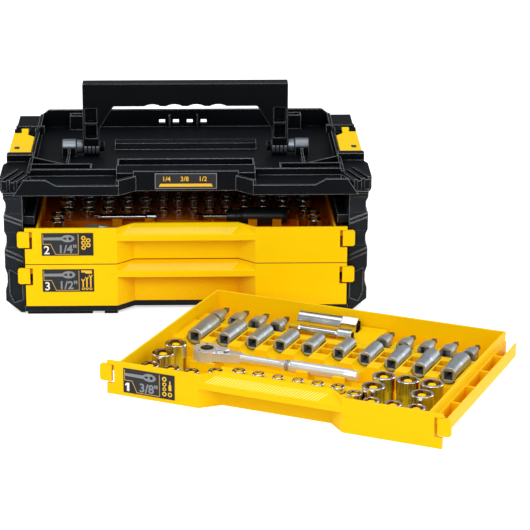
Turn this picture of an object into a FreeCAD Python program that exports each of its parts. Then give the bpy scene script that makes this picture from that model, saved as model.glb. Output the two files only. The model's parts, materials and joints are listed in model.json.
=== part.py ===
import FreeCAD, Part
import math
import os
from types import SimpleNamespace
import Sketcher

# Three-drawer tool case with a folding bail handle; the top drawer is out on the floor in front of it.
# Millimetres, +Z up, +Y to the back. The origin is the middle of the case's footprint, on the floor.

sizes = {
    # case shell
    "case_width": 440,
    "wall_width": 430,
    "case_depth": 312,
    "opening_width": 385,
    "base_height": 11,
    "foot_height": 4,
    "shell_wall": 3,
    "post_setback": 6,
    "scoop_depth": 2.5,
    "side_chamfer": 18,
    "rib_proud": 1.4,
    "screw_radius": 1.95,
    "screw_length": 20,
    "rail_width": 13,
    "rail_height": 9.7,
    # drawers
    "drawer_1_height": 38,
    "drawer_2_height": 44,
    "drawer_3_height": 51.5,
    "drawer_gap": 1,
    "drawer_depth": 262,
    "panel_width": 381,
    "panel_thickness": 3.5,
    "pan_width": 354,
    "pan_wall": 2.5,
    "runner_width": 12.5,
    "runner_height": 16,
    "runner_clearance": 0.3,
    "recess_width": 124,
    "recess_depth": 19,
    "recess_flare": 20,
    "pull_height": 16,
    "pull_bevel": 8.5,
    "clip_width": 14.5,
    "clip_height": 19.5,
    "clip_thickness": 4,
    "clip_lap": 5.5,
    "clip_slot": 3.2,
    "clip_drop": 4.5,
    "clip_root_gap": 0.3,
    "label_width": 61,
    "label_height": 28,
    "label_thickness": 0.5,
    "label_inset": 20,
    "label_drop": 5.5,
    # lid
    "deck_thickness": 3,
    "rim_height": 23,
    "rim_thickness": 4,
    "lip_height": 12,
    "lip_corner_rise": 7,
    "lip_centre_height": 24,
    "rim_setback": 32,
    "badge_width": 74,
    "badge_height": 20,
    "badge_thickness": 0.6,
    # latches
    "latch_width": 27,
    "latch_length": 94,
    "latch_thickness": 5,
    "latch_setback": 109,
    "latch_clearance": 0.5,
    "latch_bed_height": 13.5,
    "knuckle_radius": 4,
    "latch_pin_radius": 1.5,
    "pin_clearance": 0.05,
    # handle
    "handle_width": 253,
    "handle_rise": 82,
    "handle_thickness": 20,
    "handle_setback": 168,
    "handle_axis_height": 10.7,
    "grip_height": 29,
    "arm_width": 20,
    "gusset_width": 18,
    "gusset_drop": 29,
    "stub_radius": 6,
    "stub_reach": 26,
    "boss_width": 17,
    "boss_wall": 3,
    "finger_radius": 22,
    "finger_depth": 2.5,
    "finger_pitch": 27,
    # where the loose top drawer lies
    "tray_shift": 86,
    "tray_distance": 330,
    "tray_turn": 25,
    # tools
    "pocket_clearance": 0.3,
    "drive_quarter": 6.35,
    "drive_three_eighths": 9.53,
    "drive_half": 12.7,
    "ratchet_head": 15.5,
    "ratchet_length": 178,
    "quarter_head": 11.5,
    "quarter_length": 128,
    "half_head": 21,
    "half_length": 250,
    "socket_gap": 11.8,
    "deep_gap": 15,
    "deep_set_gap": 5,
    "deep_back": 190,
    "deep_axis": 24,
    "bit_row": 200,
    "bit_pitch": 25.3,
    "bit_holder_length": 25,
    "bit_holder_radius": 8.3,
    "bit_length": 16,
    "plug_socket_length": 71,
    "plug_socket_radius": 10.5,
    "extension_length": 76,
    "extension_radius": 4.6,
    "tall_height": 32,
    "short_height": 27,
    "platform_height": 23,
    "rack_height": 23,
    "spinner_radius": 11,
    "spinner_length": 74,
}

doc = FreeCAD.newDocument("tool_case")
sheet = doc.addObject("Spreadsheet::Sheet", "sheet")
for row, (alias, number) in enumerate(sizes.items(), 1):
    sheet.set(f"A{row}", alias)
    sheet.set(f"B{row}", str(number))
    sheet.setAlias(f"B{row}", alias)
doc.recompute()


class Size:
    # A length that carries its number and the sheet expression it comes from.
    def __init__(self, number, text):
        self.number = number
        self.text = text

    def __add__(self, other):
        other = size(other)
        return Size(self.number + other.number, f"({self.text} + {other.text})")

    def __sub__(self, other):
        other = size(other)
        return Size(self.number - other.number, f"({self.text} - {other.text})")

    def __mul__(self, other):
        other = size(other)
        return Size(self.number * other.number, f"({self.text} * {other.text})")

    def __truediv__(self, other):
        other = size(other)
        return Size(self.number / other.number, f"({self.text} / {other.text})")

    def __neg__(self):
        return Size(-self.number, f"(0 - {self.text})")

    def __radd__(self, other):
        return size(other) + self

    def __rsub__(self, other):
        return size(other) - self

    def __rmul__(self, other):
        return size(other) * self


def size(thing):
    return thing if isinstance(thing, Size) else Size(thing, f"({thing:.6f})")


d = SimpleNamespace(**{alias: Size(number, f"sheet.{alias}") for alias, number in sizes.items()})
nodes = []

X_AXIS = FreeCAD.Vector(1, 0, 0)
Y_AXIS = FreeCAD.Vector(0, 1, 0)
Z_AXIS = FreeCAD.Vector(0, 0, 1)
ALONG = {
    "x": FreeCAD.Rotation(Y_AXIS, 90),
    "y": FreeCAD.Rotation(X_AXIS, -90),
    "z": FreeCAD.Rotation(),
}
PLANES = {"x": "YZ_Plane", "y": "XZ_Plane", "z": "XY_Plane"}


def bind(item, prop, thing):
    item.setExpression(prop, size(thing).text)


def place(item, x=0, y=0, z=0, turn=None):
    if turn is not None:
        item.Placement.Rotation = turn
    for axis, thing in zip("xyz", (x, y, z)):
        bind(item, f"Placement.Base.{axis}", thing)
    return item


def node(item, label):
    item.Label = label
    nodes.append(item)
    return item


def box(x0, x1, y0, y1, z0, z1):
    item = doc.addObject("Part::Box", "block")
    bind(item, "Length", size(x1) - x0)
    bind(item, "Width", size(y1) - y0)
    bind(item, "Height", size(z1) - z0)
    return place(item, x0, y0, z0)


def rod(axis, x, y, z, radius, length):
    item = doc.addObject("Part::Cylinder", "rod")
    bind(item, "Radius", radius)
    bind(item, "Height", length)
    return place(item, x, y, z, ALONG[axis])


def hexagon(x, y, z, flats, length, axis="z"):
    item = doc.addObject("Part::Prism", "hexagon")
    item.Polygon = 6
    bind(item, "Circumradius", size(flats) / math.sqrt(3))
    bind(item, "Height", length)
    return place(item, x, y, z, ALONG[axis])


def outline(body, axis, points):
    sketch = body.newObject("Sketcher::SketchObject", "outline")
    plane = next(item for item in body.Origin.OriginFeatures if item.Role == PLANES[axis])
    sketch.AttachmentSupport = [(plane, "")]
    sketch.MapMode = "FlatFace"
    points = [(size(across), size(up)) for across, up in points]
    spots = [FreeCAD.Vector(across.number, up.number, 0) for across, up in points]
    count = len(spots)
    sketch.addGeometry([Part.LineSegment(spots[i - 1], spots[i]) for i in range(count)], False)
    ties = [Sketcher.Constraint("Coincident", i, 2, (i + 1) % count, 1) for i in range(count)]
    for i, spot in enumerate(spots):
        ties.append(Sketcher.Constraint("DistanceX", -1, 1, i, 2, spot.x))
        ties.append(Sketcher.Constraint("DistanceY", -1, 1, i, 2, spot.y))
    sketch.addConstraint(ties)
    for i, (across, up) in enumerate(points):
        bind(sketch, f"Constraints[{count + 2 * i}]", across)
        bind(sketch, f"Constraints[{count + 2 * i + 1}]", up)
    return sketch


# A straight extrusion of an outline. The outline's two numbers are the row axes left over, in X, Y, Z order.
def pad(axis, points, low, high):
    body = doc.addObject("PartDesign::Body", "pad")
    sketch = outline(body, axis, points)
    feature = body.newObject("PartDesign::Pad", "length")
    feature.Profile = sketch
    bind(feature, "Length", size(high) - low)
    start = {"x": 0, "y": 0, "z": 0}
    start[axis] = high if axis == "y" else low
    return place(body, **start)


# A turned piece about its own Z axis, from (radius, height) points.
def turned(points):
    body = doc.addObject("PartDesign::Body", "turned")
    sketch = outline(body, "y", points)
    feature = body.newObject("PartDesign::Revolution", "round")
    feature.Profile = sketch
    feature.ReferenceAxis = (sketch, ["V_Axis"])
    feature.Angle = 360
    return body


def fuse(*solids):
    item = doc.addObject("Part::MultiFuse", "joined")
    item.Shapes = list(solids)
    item.Refine = True
    return item


def cut(base, *tools):
    item = doc.addObject("Part::Cut", "cut")
    item.Base = base
    item.Tool = tools[0] if len(tools) == 1 else fuse(*tools)
    item.Refine = True
    return item


def mirror(item):
    twin = doc.addObject("Part::Mirroring", "mirrored")
    twin.Source = item
    twin.Base = FreeCAD.Vector(0, 0, 0)
    twin.Normal = X_AXIS
    return twin


def both(item):
    return item, mirror(item)


def group(*items):
    bundle = doc.addObject("Part::Compound", "group")
    bundle.Links = list(items)
    return bundle


front = -d.case_depth / 2
rear = d.case_depth / 2
wall_in = d.opening_width / 2
wall_out = d.wall_width / 2
floor_3 = d.base_height + d.drawer_gap
floor_2 = floor_3 + d.drawer_3_height + d.drawer_gap
floor_1 = floor_2 + d.drawer_2_height + d.drawer_gap
deck_low = floor_1 + d.drawer_1_height + d.drawer_gap
deck_top = deck_low + d.deck_thickness
rim_top = deck_top + d.rim_height
recess = d.recess_width / 2
flare = recess + d.recess_flare
levels = (
    (floor_3, d.drawer_3_height),
    (floor_2, d.drawer_2_height),
    (floor_1, d.drawer_1_height),
)
back_face = rear - d.shell_wall
screw_x = (wall_in + wall_out - d.scoop_depth) / 2
screw_heights = [low + height * 0.62 for low, height in levels]


# Side walls: a scooped outer skin on a front post, with a rail for each drawer.
def side_wall():
    skirt = d.foot_height / 2
    points = [
        (wall_in, skirt),
        (wall_out - d.side_chamfer, skirt),
        (wall_out, skirt + d.side_chamfer * 0.85),
    ]
    for low, height in levels:
        points.append((wall_out, low + height * 0.36))
        points.append((wall_out - d.scoop_depth, low + height * 0.5))
        points.append((wall_out - d.scoop_depth, low + height * 0.74))
        points.append((wall_out, low + height * 0.9))
    points += [(wall_out, deck_low), (wall_in, deck_low)]
    face = front + d.post_setback
    skin = pad("y", points, face, back_face)
    hollow = box(
        wall_in + d.shell_wall,
        wall_out - d.scoop_depth - d.shell_wall,
        face + d.shell_wall,
        rear,
        skirt + d.side_chamfer,
        deck_low - d.shell_wall,
    )
    rails = [
        box(
            wall_in - d.rail_width,
            wall_in + d.shell_wall / 2,
            face + d.shell_wall * 3,
            back_face - d.shell_wall,
            low,
            low + d.rail_height,
        )
        for low, height in levels
    ]
    ribs = []
    for low, height in levels[1:]:
        for step in (0.0, 0.13):
            lower = low + height * (0.02 + step)
            upper = lower + height * 0.2
            ribs.append(
                pad(
                    "y",
                    [
                        (wall_in + d.rib_proud, lower),
                        (wall_out - d.rib_proud, upper),
                        (wall_out - d.rib_proud, upper + d.rib_proud),
                        (wall_in + d.rib_proud, lower + d.rib_proud),
                    ],
                    face - d.rib_proud,
                    face + d.shell_wall / 2,
                )
            )
    boss_y = back_face - d.screw_length
    bore_radius = d.screw_radius + d.pin_clearance
    bore_length = d.screw_length + d.shell_wall
    bosses = [rod("y", screw_x, boss_y, up, d.boss_wall * 2.5, d.screw_length) for up in screw_heights]
    bores = [rod("y", screw_x, boss_y, up, bore_radius, bore_length) for up in screw_heights]
    scoop_radius = d.side_chamfer * 1.2
    scoops = [
        rod(
            "x",
            wall_in - d.shell_wall,
            face - scoop_radius + d.shell_wall * 0.7,
            low + height * 0.65,
            scoop_radius,
            d.wall_width,
        )
        for low, height in levels[1:]
    ]
    frame = d.shell_wall * 0.8
    pocket = pad(
        "y",
        [
            (wall_in + frame, floor_3 + d.side_chamfer * 0.3),
            (wall_out - d.side_chamfer * 0.55, floor_3 + frame),
            (wall_out - d.scoop_depth - frame, floor_3 + d.side_chamfer * 0.75),
            (wall_out - d.scoop_depth - frame, floor_2 - d.side_chamfer * 0.5),
            (wall_in + frame, floor_2 - d.side_chamfer),
        ],
        face - d.shell_wall,
        face + d.shell_wall * 0.7,
    )
    body = cut(fuse(cut(skin, *scoops, pocket), *rails, *ribs), hollow)
    return cut(fuse(body, *bosses), *bores)


right_wall = side_wall()
node(right_wall, "side_wall_right")
node(mirror(right_wall), "side_wall_left")


# Back panel between the side walls' rear ends.
def back_panel():
    skirt = d.foot_height / 2
    chamfer = d.side_chamfer
    half = [
        (wall_out - chamfer, skirt),
        (wall_out, skirt + chamfer * 0.85),
        (wall_out, deck_low),
    ]
    points = half + [(-across, up) for across, up in reversed(half)]
    hole_radius = d.screw_radius + d.pin_clearance
    holes = []
    for up in screw_heights:
        holes += both(rod("y", screw_x, back_face - d.shell_wall, up, hole_radius, d.shell_wall * 3))
    return cut(pad("y", points, back_face, rear), *holes)


node(back_panel(), "back_panel")


# The stepped front line that base, drawers and lid share, from left to right.
def stepped_line(half_width, front_y, centre_y):
    return [
        (-half_width, front_y),
        (-flare, front_y),
        (-recess, centre_y),
        (recess, centre_y),
        (flare, front_y),
        (half_width, front_y),
    ]


# Base panel with its stepped front band and moulded feet.
def base_panel():
    face = front + d.post_setback / 2
    line = stepped_line(wall_in, face, face + d.recess_depth)
    plate = pad("z", line + [(wall_in, back_face), (-wall_in, back_face)], d.foot_height, d.base_height)
    foot_top = d.foot_height + d.shell_wall / 2
    foot_length = d.recess_depth * 2
    feet = []
    outer_foot = (flare + d.recess_flare * 1.5, wall_in - d.shell_wall)
    inner_foot = (flare, flare + d.recess_flare * 0.8)
    for low, high in (outer_foot, inner_foot):
        feet += both(box(low, high, face + d.shell_wall, face + foot_length, 0, foot_top))
        feet += both(box(low, high, back_face - foot_length, back_face - d.shell_wall, 0, foot_top))
    feet.append(box(-recess, recess, -foot_length, foot_length, 0, foot_top))
    inside = wall_in - d.shell_wall
    hollow = box(
        -inside,
        inside,
        face + d.recess_depth + d.shell_wall,
        back_face - d.shell_wall,
        d.foot_height + d.shell_wall,
        d.base_height + d.shell_wall,
    )
    return cut(fuse(plate, *feet), hollow)


node(base_panel(), "base_panel")

handle_y = front + d.handle_setback
handle_z = deck_top + d.handle_axis_height
bail_half = d.handle_width / 2
boss_low = bail_half + d.stub_reach - d.boss_width
latch_y = front + d.latch_setback
latch_end = latch_y + d.latch_length
latch_low = wall_out - d.latch_width
bed_top = deck_top + d.latch_bed_height
latch_z = bed_top + d.latch_clearance
hinge_y = latch_end + d.knuckle_radius * 1.8
hinge_z = latch_z + d.knuckle_radius + d.latch_clearance
knuckle_third = d.latch_width / 3


def hinge_knuckle(low, high):
    return rod("x", low, hinge_y, hinge_z, d.knuckle_radius, high - low)


# Lid: deck plate, stepped lip, rim, latch beds, handle bosses and the notched back wall.
def lid_deck():
    face = front + d.shell_wall
    line = stepped_line(wall_out, face, face + d.recess_depth)
    solids = [pad("z", line + [(wall_out, rear), (-wall_out, rear)], deck_low, deck_top)]
    root = deck_low + d.shell_wall / 2
    lip_top = deck_low + d.lip_height
    corner_top = lip_top + d.lip_corner_rise
    centre_top = deck_low + d.lip_centre_height
    lip_back = front + d.rim_thickness
    corner = d.side_chamfer * 0.7
    solids += both(
        pad(
            "y",
            [
                (flare - d.shell_wall, deck_low),
                (wall_out - corner, deck_low),
                (wall_out - corner * 2, corner_top),
                (wall_out - corner * 4, corner_top),
                (wall_out - corner * 5, lip_top),
                (flare - d.shell_wall, lip_top),
            ],
            front,
            lip_back,
        )
    )
    centre_y = front + d.recess_depth
    solids.append(box(-recess, recess, centre_y, centre_y + d.rim_thickness, deck_low, centre_top))
    solids += both(
        pad(
            "z",
            [
                (recess - d.shell_wall, centre_y),
                (flare - d.shell_wall, front),
                (flare, lip_back),
                (recess, centre_y + d.rim_thickness),
            ],
            deck_low,
            (lip_top + centre_top) / 2,
        )
    )
    rim_y = front + d.rim_setback
    rim_back = rim_y + d.rim_thickness
    inner_wall = latch_low - d.rim_thickness
    solids += both(
        pad(
            "x",
            [
                (lip_back - d.shell_wall, root),
                (lip_back - d.shell_wall, lip_top - d.shell_wall),
                (rim_y, lip_top + d.shell_wall),
                (rim_y, rim_top - d.shell_wall),
                (rim_back, rim_top - d.shell_wall),
                (rim_back, root),
            ],
            flare,
            inner_wall,
        )
    )
    solids.append(
        pad(
            "x",
            [
                (centre_y + d.shell_wall, root),
                (centre_y + d.shell_wall, centre_top - d.shell_wall),
                (rim_y + d.rim_thickness, rim_top - d.shell_wall / 2),
                (rim_back + d.rim_thickness, rim_top),
                (rim_back + d.rim_thickness, root),
            ],
            -flare,
            flare,
        )
    )
    bumper = d.case_width / 2
    bar_y = latch_y - d.knuckle_radius * 3.5
    solids += both(
        pad(
            "z",
            [
                (inner_wall, rim_y),
                (wall_out - corner * 1.4, front + d.shell_wall),
                (bumper - d.shell_wall, front + corner),
                (bumper, front + corner * 2),
                (bumper, bar_y - corner),
                (wall_out, bar_y),
                (inner_wall, bar_y),
            ],
            deck_low,
            lip_top + d.shell_wall,
        )
    )
    bar_top = latch_z + d.latch_thickness + d.shell_wall / 2
    hinge_back = hinge_y + d.knuckle_radius * 1.5
    bar_low = latch_low - d.shell_wall
    bar_high = wall_out + d.shell_wall / 2
    solids += both(box(bar_low, bar_high, bar_y, latch_y - d.shell_wall / 2, root, bar_top))
    solids += both(box(latch_low, wall_out - d.shell_wall / 2, bar_y, hinge_back, root, bed_top))
    solids += both(box(inner_wall, latch_low, rim_y, back_face - d.shell_wall, root, bed_top + d.shell_wall))
    solids += both(box(wall_out - d.rim_thickness, wall_out, hinge_y, rear - d.shell_wall, root, bed_top))
    shelf_low = bed_top - d.shell_wall
    solids += both(box(inner_wall, wall_out - d.shell_wall, hinge_back, rear - d.shell_wall, shelf_low, bed_top))
    for low in (latch_low, wall_out - knuckle_third):
        solids += both(hinge_knuckle(low, low + knuckle_third - d.latch_clearance))
        solids += both(
            box(
                low,
                low + knuckle_third - d.latch_clearance,
                hinge_y - d.knuckle_radius,
                hinge_y + d.knuckle_radius,
                bed_top - d.shell_wall,
                hinge_z - d.latch_pin_radius,
            )
        )
    wall_low = wall_out - corner * 2
    wall_y = back_face - d.shell_wall - d.rim_thickness
    half = [(wall_low, root), (wall_low, bed_top), (wall_low - corner, rim_top)]
    solids.append(
        pad("y", half + [(-across, up) for across, up in reversed(half)], wall_y, wall_y + d.rim_thickness)
    )
    boss_radius = d.stub_radius + d.boss_wall
    solids += both(rod("x", boss_low, handle_y, handle_z, boss_radius, d.boss_width))
    solids += both(
        box(boss_low, boss_low + d.boss_width, handle_y - boss_radius, handle_y + boss_radius, root, handle_z)
    )
    web = boss_low + d.boss_width / 2
    solids += both(
        pad(
            "x",
            [
                (rim_back, root),
                (rim_back, root + d.rim_height * 0.5),
                (handle_y - boss_radius * 2, root + d.rim_height * 0.3),
                (handle_y - boss_radius + d.shell_wall, handle_z),
                (handle_y - boss_radius + d.shell_wall, root),
            ],
            web - d.shell_wall / 2,
            web + d.shell_wall / 2,
        )
    )
    stop = bail_half - d.arm_width - d.gusset_width
    solids.append(
        pad(
            "x",
            [
                (handle_y + boss_radius * 2.4, root),
                (handle_y + boss_radius * 3, deck_top + d.rim_height * 0.3),
                (handle_y + boss_radius * 4.4, deck_top + d.rim_height * 0.38),
                (handle_y + boss_radius * 5, root),
            ],
            -stop,
            stop,
        )
    )
    shelf = deck_top + d.rim_height * 0.8
    thin = d.shell_wall * 0.6
    tray_back = rim_back + d.rim_setback * 1.5
    tray = box(-flare, flare, rim_back, tray_back, root, shelf)
    solids.append(cut(tray, box(-flare + thin, flare - thin, rim_back, tray_back - thin, deck_top, rim_top)))
    rib_y = rim_back + d.rim_setback * 0.8
    rib_x = web - d.rim_setback
    solids += both(box(rib_x, inner_wall + thin, rib_y, rib_y + thin, root, shelf))
    solids += both(box(rib_x, rib_x + thin, rim_back - thin, rib_y + thin, root, shelf))
    solids += both(
        pad(
            "z",
            [
                (web, rib_y),
                (web + thin, rib_y),
                (inner_wall + thin, rib_y + d.rim_setback),
                (inner_wall, rib_y + d.rim_setback),
            ],
            root,
            shelf,
        )
    )
    keep_y = wall_y - d.rim_height * 0.6
    keep_x = bail_half + d.rim_height
    keeper = box(bail_half, keep_x, keep_y, wall_y + thin, root, shelf)
    hollow = box(bail_half + thin, keep_x - thin, keep_y + thin, wall_y - thin, deck_top, rim_top)
    solids += both(cut(keeper, hollow))
    slot_pitch = d.shell_wall * 6
    slots = [
        box(
            slot_pitch * (index - 1.9),
            slot_pitch * (index - 1.9) + slot_pitch * 0.42,
            wall_y - d.shell_wall,
            rear,
            deck_top + d.rim_height * 0.22,
            deck_top + d.rim_height * 0.42,
        )
        for index in range(4)
    ]
    for index in (0, 2):
        low = slot_pitch * (index - 1.2)
        rib_top = rim_top - d.lip_corner_rise
        solids.append(box(low, low + thin, wall_y - d.shell_wall, wall_y + thin, root, rib_top))
    stub_bore = d.stub_radius + d.pin_clearance
    pin_bore = d.latch_pin_radius + d.pin_clearance
    pin_reach = d.latch_width + d.shell_wall * 2
    bores = list(both(rod("x", boss_low - d.shell_wall, handle_y, handle_z, stub_bore, d.boss_width)))
    bores += both(rod("x", latch_low - d.shell_wall, hinge_y, hinge_z, pin_bore, pin_reach))
    return cut(fuse(*solids), *slots, *bores)


node(lid_deck(), "lid_deck")

# Bare plate on the middle of the lid's lip.
badge_y = front + d.recess_depth
badge_z = deck_low + (d.lip_centre_height - d.badge_height) / 2
badge_half = d.badge_width / 2
badge = box(-badge_half, badge_half, badge_y - d.badge_thickness, badge_y, badge_z, badge_z + d.badge_height)
node(badge, "lid_badge")

# Steel pins of the two latch hinges.
node(group(*both(rod("x", latch_low, hinge_y, hinge_z, d.latch_pin_radius, d.latch_width))), "latch_pins")


# Screws that hold the back panel to the side walls.
def case_screws():
    screws = []
    for up in screw_heights:
        shank = d.screw_length * 0.9
        head = rod("y", screw_x, rear, up, d.screw_radius * 2, d.screw_radius)
        thread = rod("y", screw_x, back_face - shank, up, d.screw_radius, shank + d.shell_wall)
        screws += both(fuse(head, thread))
    return group(*screws)


node(case_screws(), "case_screws")


# Bail handle: grip with finger scallops, two gusseted arms and stub axles.
def handle_bail():
    top = handle_z + d.handle_rise
    under = top - d.grip_height
    half = [
        (bail_half, handle_z),
        (bail_half, top),
        (-bail_half, top),
        (-bail_half, handle_z),
        (-bail_half + d.arm_width, handle_z),
        (-bail_half + d.arm_width, under - d.gusset_drop),
        (-bail_half + d.arm_width + d.gusset_width, under),
        (bail_half - d.arm_width - d.gusset_width, under),
        (bail_half - d.arm_width, under - d.gusset_drop),
        (bail_half - d.arm_width, handle_z),
    ]
    near = handle_y - d.handle_thickness / 2
    far = handle_y + d.handle_thickness / 2
    solids = [pad("y", half, near, far)]
    solids += both(rod("x", bail_half - d.arm_width, handle_y, handle_z, d.handle_thickness / 2, d.arm_width))
    stub_low = bail_half - d.arm_width - d.stub_radius
    solids += both(rod("x", stub_low, handle_y, handle_z, d.stub_radius, d.arm_width + d.stub_reach))
    scallops = [
        rod(
            "y",
            d.finger_pitch * (index - 1.5),
            near - d.shell_wall,
            under - d.finger_radius + d.finger_depth,
            d.finger_radius,
            d.handle_thickness + d.shell_wall * 2,
        )
        for index in range(4)
    ]
    pockets = []
    for low, high in ((0.16, 0.36), (0.4, 0.62)):
        pockets += both(
            box(
                bail_half - d.arm_width * 0.85,
                bail_half - d.arm_width * 0.15,
                near - d.shell_wall,
                near + d.handle_thickness * 0.4,
                handle_z + d.handle_rise * low,
                handle_z + d.handle_rise * high,
            )
        )
    return cut(fuse(*solids), *scallops, *pockets)


node(handle_bail(), "handle_bail")


# Side latch: a plate with a finger slot and a hinge knuckle at its rear end.
def latch():
    plate = pad(
        "z",
        [
            (latch_low + d.latch_clearance, latch_y),
            (wall_out, latch_y),
            (wall_out, latch_end),
            (wall_out - knuckle_third * 1.3, latch_end),
            (latch_low + d.latch_clearance, latch_end - d.latch_width * 0.7),
        ],
        latch_z,
        latch_z + d.latch_thickness,
    )
    low = latch_low + knuckle_third + d.latch_clearance / 2
    high = wall_out - knuckle_third - d.latch_clearance
    arm_y = latch_end - d.latch_width * 0.7
    arm = box(low, high, arm_y, hinge_y, latch_z + d.latch_clearance, latch_z + d.latch_thickness)
    slot_y = latch_y + d.latch_width * 0.7
    slot = box(
        wall_out - d.latch_width * 0.42,
        wall_out - d.latch_width * 0.22,
        slot_y,
        slot_y + d.latch_width * 0.3,
        latch_z - d.shell_wall,
        latch_z + d.latch_thickness + d.shell_wall,
    )
    bore = rod("x", low - d.shell_wall, hinge_y, hinge_z, d.latch_pin_radius + d.pin_clearance, d.latch_width)
    return cut(fuse(plate, arm, hinge_knuckle(low, high)), slot, bore)


right_latch = latch()
node(right_latch, "latch_right")
node(mirror(right_latch), "latch_left")

# Drawers, each in its own frame: x across, y back from the front face, z up from the underside.
half_pan = d.pan_width / 2
inner_pan = half_pan - d.pan_wall
runner_out = half_pan + d.runner_width
runner_low = d.rail_height + d.runner_clearance
runner_front = d.post_setback + d.shell_wall * 3
panel_half = d.panel_width / 2
clip_low = panel_half - d.clip_lap


# Places an item built in a drawer's frame where that drawer is.
def in_drawer(level, item):
    if level == 1:
        turn = FreeCAD.Rotation(Z_AXIS, -d.tray_turn.number)
        return place(item, d.tray_shift, front - d.tray_distance, 0, turn)
    return place(item, 0, front, floor_2 if level == 2 else floor_3)


# Front panel with its set-back middle and pull lip, pan, and the runners that sit on the rails.
def drawer_shell(height):
    line = stepped_line(panel_half, 0, d.recess_depth)
    inner = stepped_line(panel_half, d.panel_thickness, d.recess_depth + d.panel_thickness)
    skin = pad("z", line + inner[::-1], 0, height)
    clip_top = height - d.clip_drop
    notch = box(
        clip_low - d.clip_slot,
        panel_half + d.shell_wall,
        -d.shell_wall,
        d.panel_thickness + d.shell_wall,
        clip_top - d.clip_height - d.clip_slot / 2,
        clip_top + d.clip_root_gap,
    )
    pull = pad(
        "z",
        [(-flare, 0), (flare, 0), (recess, d.recess_depth), (-recess, d.recess_depth)],
        height - d.pull_height,
        height,
    )
    bevel = pad(
        "x",
        [
            (-d.shell_wall, height - d.pull_bevel),
            (0, height - d.pull_bevel),
            (d.recess_depth, height),
            (d.recess_depth, height + d.shell_wall),
            (-d.shell_wall, height + d.shell_wall),
        ],
        -flare - d.shell_wall,
        flare + d.shell_wall,
    )
    middle = d.panel_thickness / 2
    floor_line = stepped_line(half_pan, middle, d.recess_depth + middle)
    floor = pad("z", floor_line + [(half_pan, d.drawer_depth), (-half_pan, d.drawer_depth)], 0, d.pan_wall)
    top = height - d.runner_clearance
    root_low = clip_low - d.clip_slot
    root_y = d.clip_thickness + d.clip_root_gap
    solids = [cut(skin, *both(notch)), cut(pull, bevel), floor]
    solids += both(box(inner_pan, half_pan, middle, d.drawer_depth, 0, top))
    solids.append(box(-half_pan, half_pan, d.drawer_depth - d.pan_wall, d.drawer_depth, 0, top))
    runner_in = half_pan - d.pan_wall / 2
    runner_top = runner_low + d.runner_height
    solids += both(box(runner_in, runner_out, runner_front, d.drawer_depth, runner_low, runner_top))
    root_back = root_y + d.clip_thickness
    root_z = clip_top - d.clip_height * 0.4
    solids += both(box(root_low - d.clip_slot, root_low, middle, root_back, root_z, clip_top))
    solids += both(box(root_low - d.clip_slot, panel_half, root_y, root_back, root_z, clip_top))
    return solids


# Spring tab that hangs in the panel's notch and hooks over the case's post.
def clip_tab(height):
    top = height - d.clip_drop
    low = top - d.clip_height
    chamfer = d.clip_thickness / 2
    high = clip_low + d.clip_width
    return pad(
        "y",
        [
            (clip_low, top),
            (clip_low, low),
            (high - chamfer, low),
            (high, low + chamfer),
            (high, top - chamfer),
            (high - chamfer, top),
        ],
        0,
        d.clip_thickness,
    )


def label_plate(height):
    low = -panel_half + d.label_inset
    top = height - d.label_drop
    return box(low, low + d.label_width, -d.label_thickness, 0, top - d.label_height, top)


def make_drawer(level, height, blocks, pockets):
    shell = fuse(*drawer_shell(height), *blocks)
    shell = cut(shell, *pockets) if pockets else shell
    node(in_drawer(level, shell), f"drawer_{level}_tray")
    node(in_drawer(level, group(label_plate(height))), f"drawer_{level}_label")
    tab = clip_tab(height)
    node(in_drawer(level, group(tab)), f"clip_{level}_right")
    node(in_drawer(level, group(mirror(tab))), f"clip_{level}_left")


# Sockets: turned blanks with a hexagon mouth at the top and a square drive hole below.
def nose_radius(flats):
    return flats * 0.625 + 1.3


def socket_radius(flats, drive):
    return max(nose_radius(flats), drive.number * 0.72 + 1.6)


def socket(flats, length, drive):
    nose = nose_radius(flats)
    root = max(nose - 0.7, drive.number * 0.72 + 1.6)
    edge = 0.6
    blank = turned(
        [
            (0, 0),
            (root - edge, 0),
            (root, edge),
            (root, length * 0.42),
            (nose, length * 0.52),
            (nose, length - edge),
            (nose - edge, length),
            (0, length),
        ]
    )
    mouth = hexagon(0, 0, length * 0.45, flats, length)
    square = box(-drive / 2, drive / 2, -drive / 2, drive / 2, -length, length * 0.4)
    bore = rod("z", 0, 0, -length, drive * 0.36, length * 2)
    return cut(blank, mouth, square, bore)


# Centres of a row of pieces with the given radii, spread about x = 0 with a gap between them.
def row_centres(radii, gap, break_after=None, break_gap=0):
    edge = size(0)
    centres = []
    for index, radius in enumerate(radii):
        centres.append(edge + radius)
        edge = edge + radius * 2 + gap
        if index == break_after:
            edge = edge + break_gap
    middle = (edge - gap) / 2
    return [centre - middle for centre in centres]


# A ratchet lying along +x with its head at the origin and its drive square below z = 0.
def ratchet_body(head, length):
    thick = head * 0.8
    disc = rod("z", 0, 0, 0, head, thick)
    neck = pad(
        "z",
        [
            (0, -head * 0.92),
            (head * 1.7, -head * 0.45),
            (head * 2.7, -head * 0.3),
            (head * 2.7, head * 0.3),
            (head * 1.7, head * 0.45),
            (0, head * 0.92),
        ],
        thick * 0.1,
        thick * 0.9,
    )
    shaft = length - head * 2.2
    handle = turned(
        [
            (0, 0),
            (head * 0.31, 0),
            (head * 0.28, shaft * 0.38),
            (head * 0.38, shaft * 0.42),
            (head * 0.38, shaft * 0.45),
            (head * 0.44, shaft * 0.47),
            (head * 0.44, shaft * 0.9),
            (head * 0.36, shaft),
            (0, shaft),
        ]
    )
    place(handle, head * 2.2, 0, thick / 2, ALONG["x"])
    return fuse(disc, neck, handle)


def gear_outline(radius, teeth):
    points = []
    for index in range(teeth * 2):
        reach = radius * (1.0 if index % 2 else 0.92)
        angle = math.pi * index / teeth
        points.append((reach * math.cos(angle), reach * math.sin(angle)))
    return points


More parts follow.
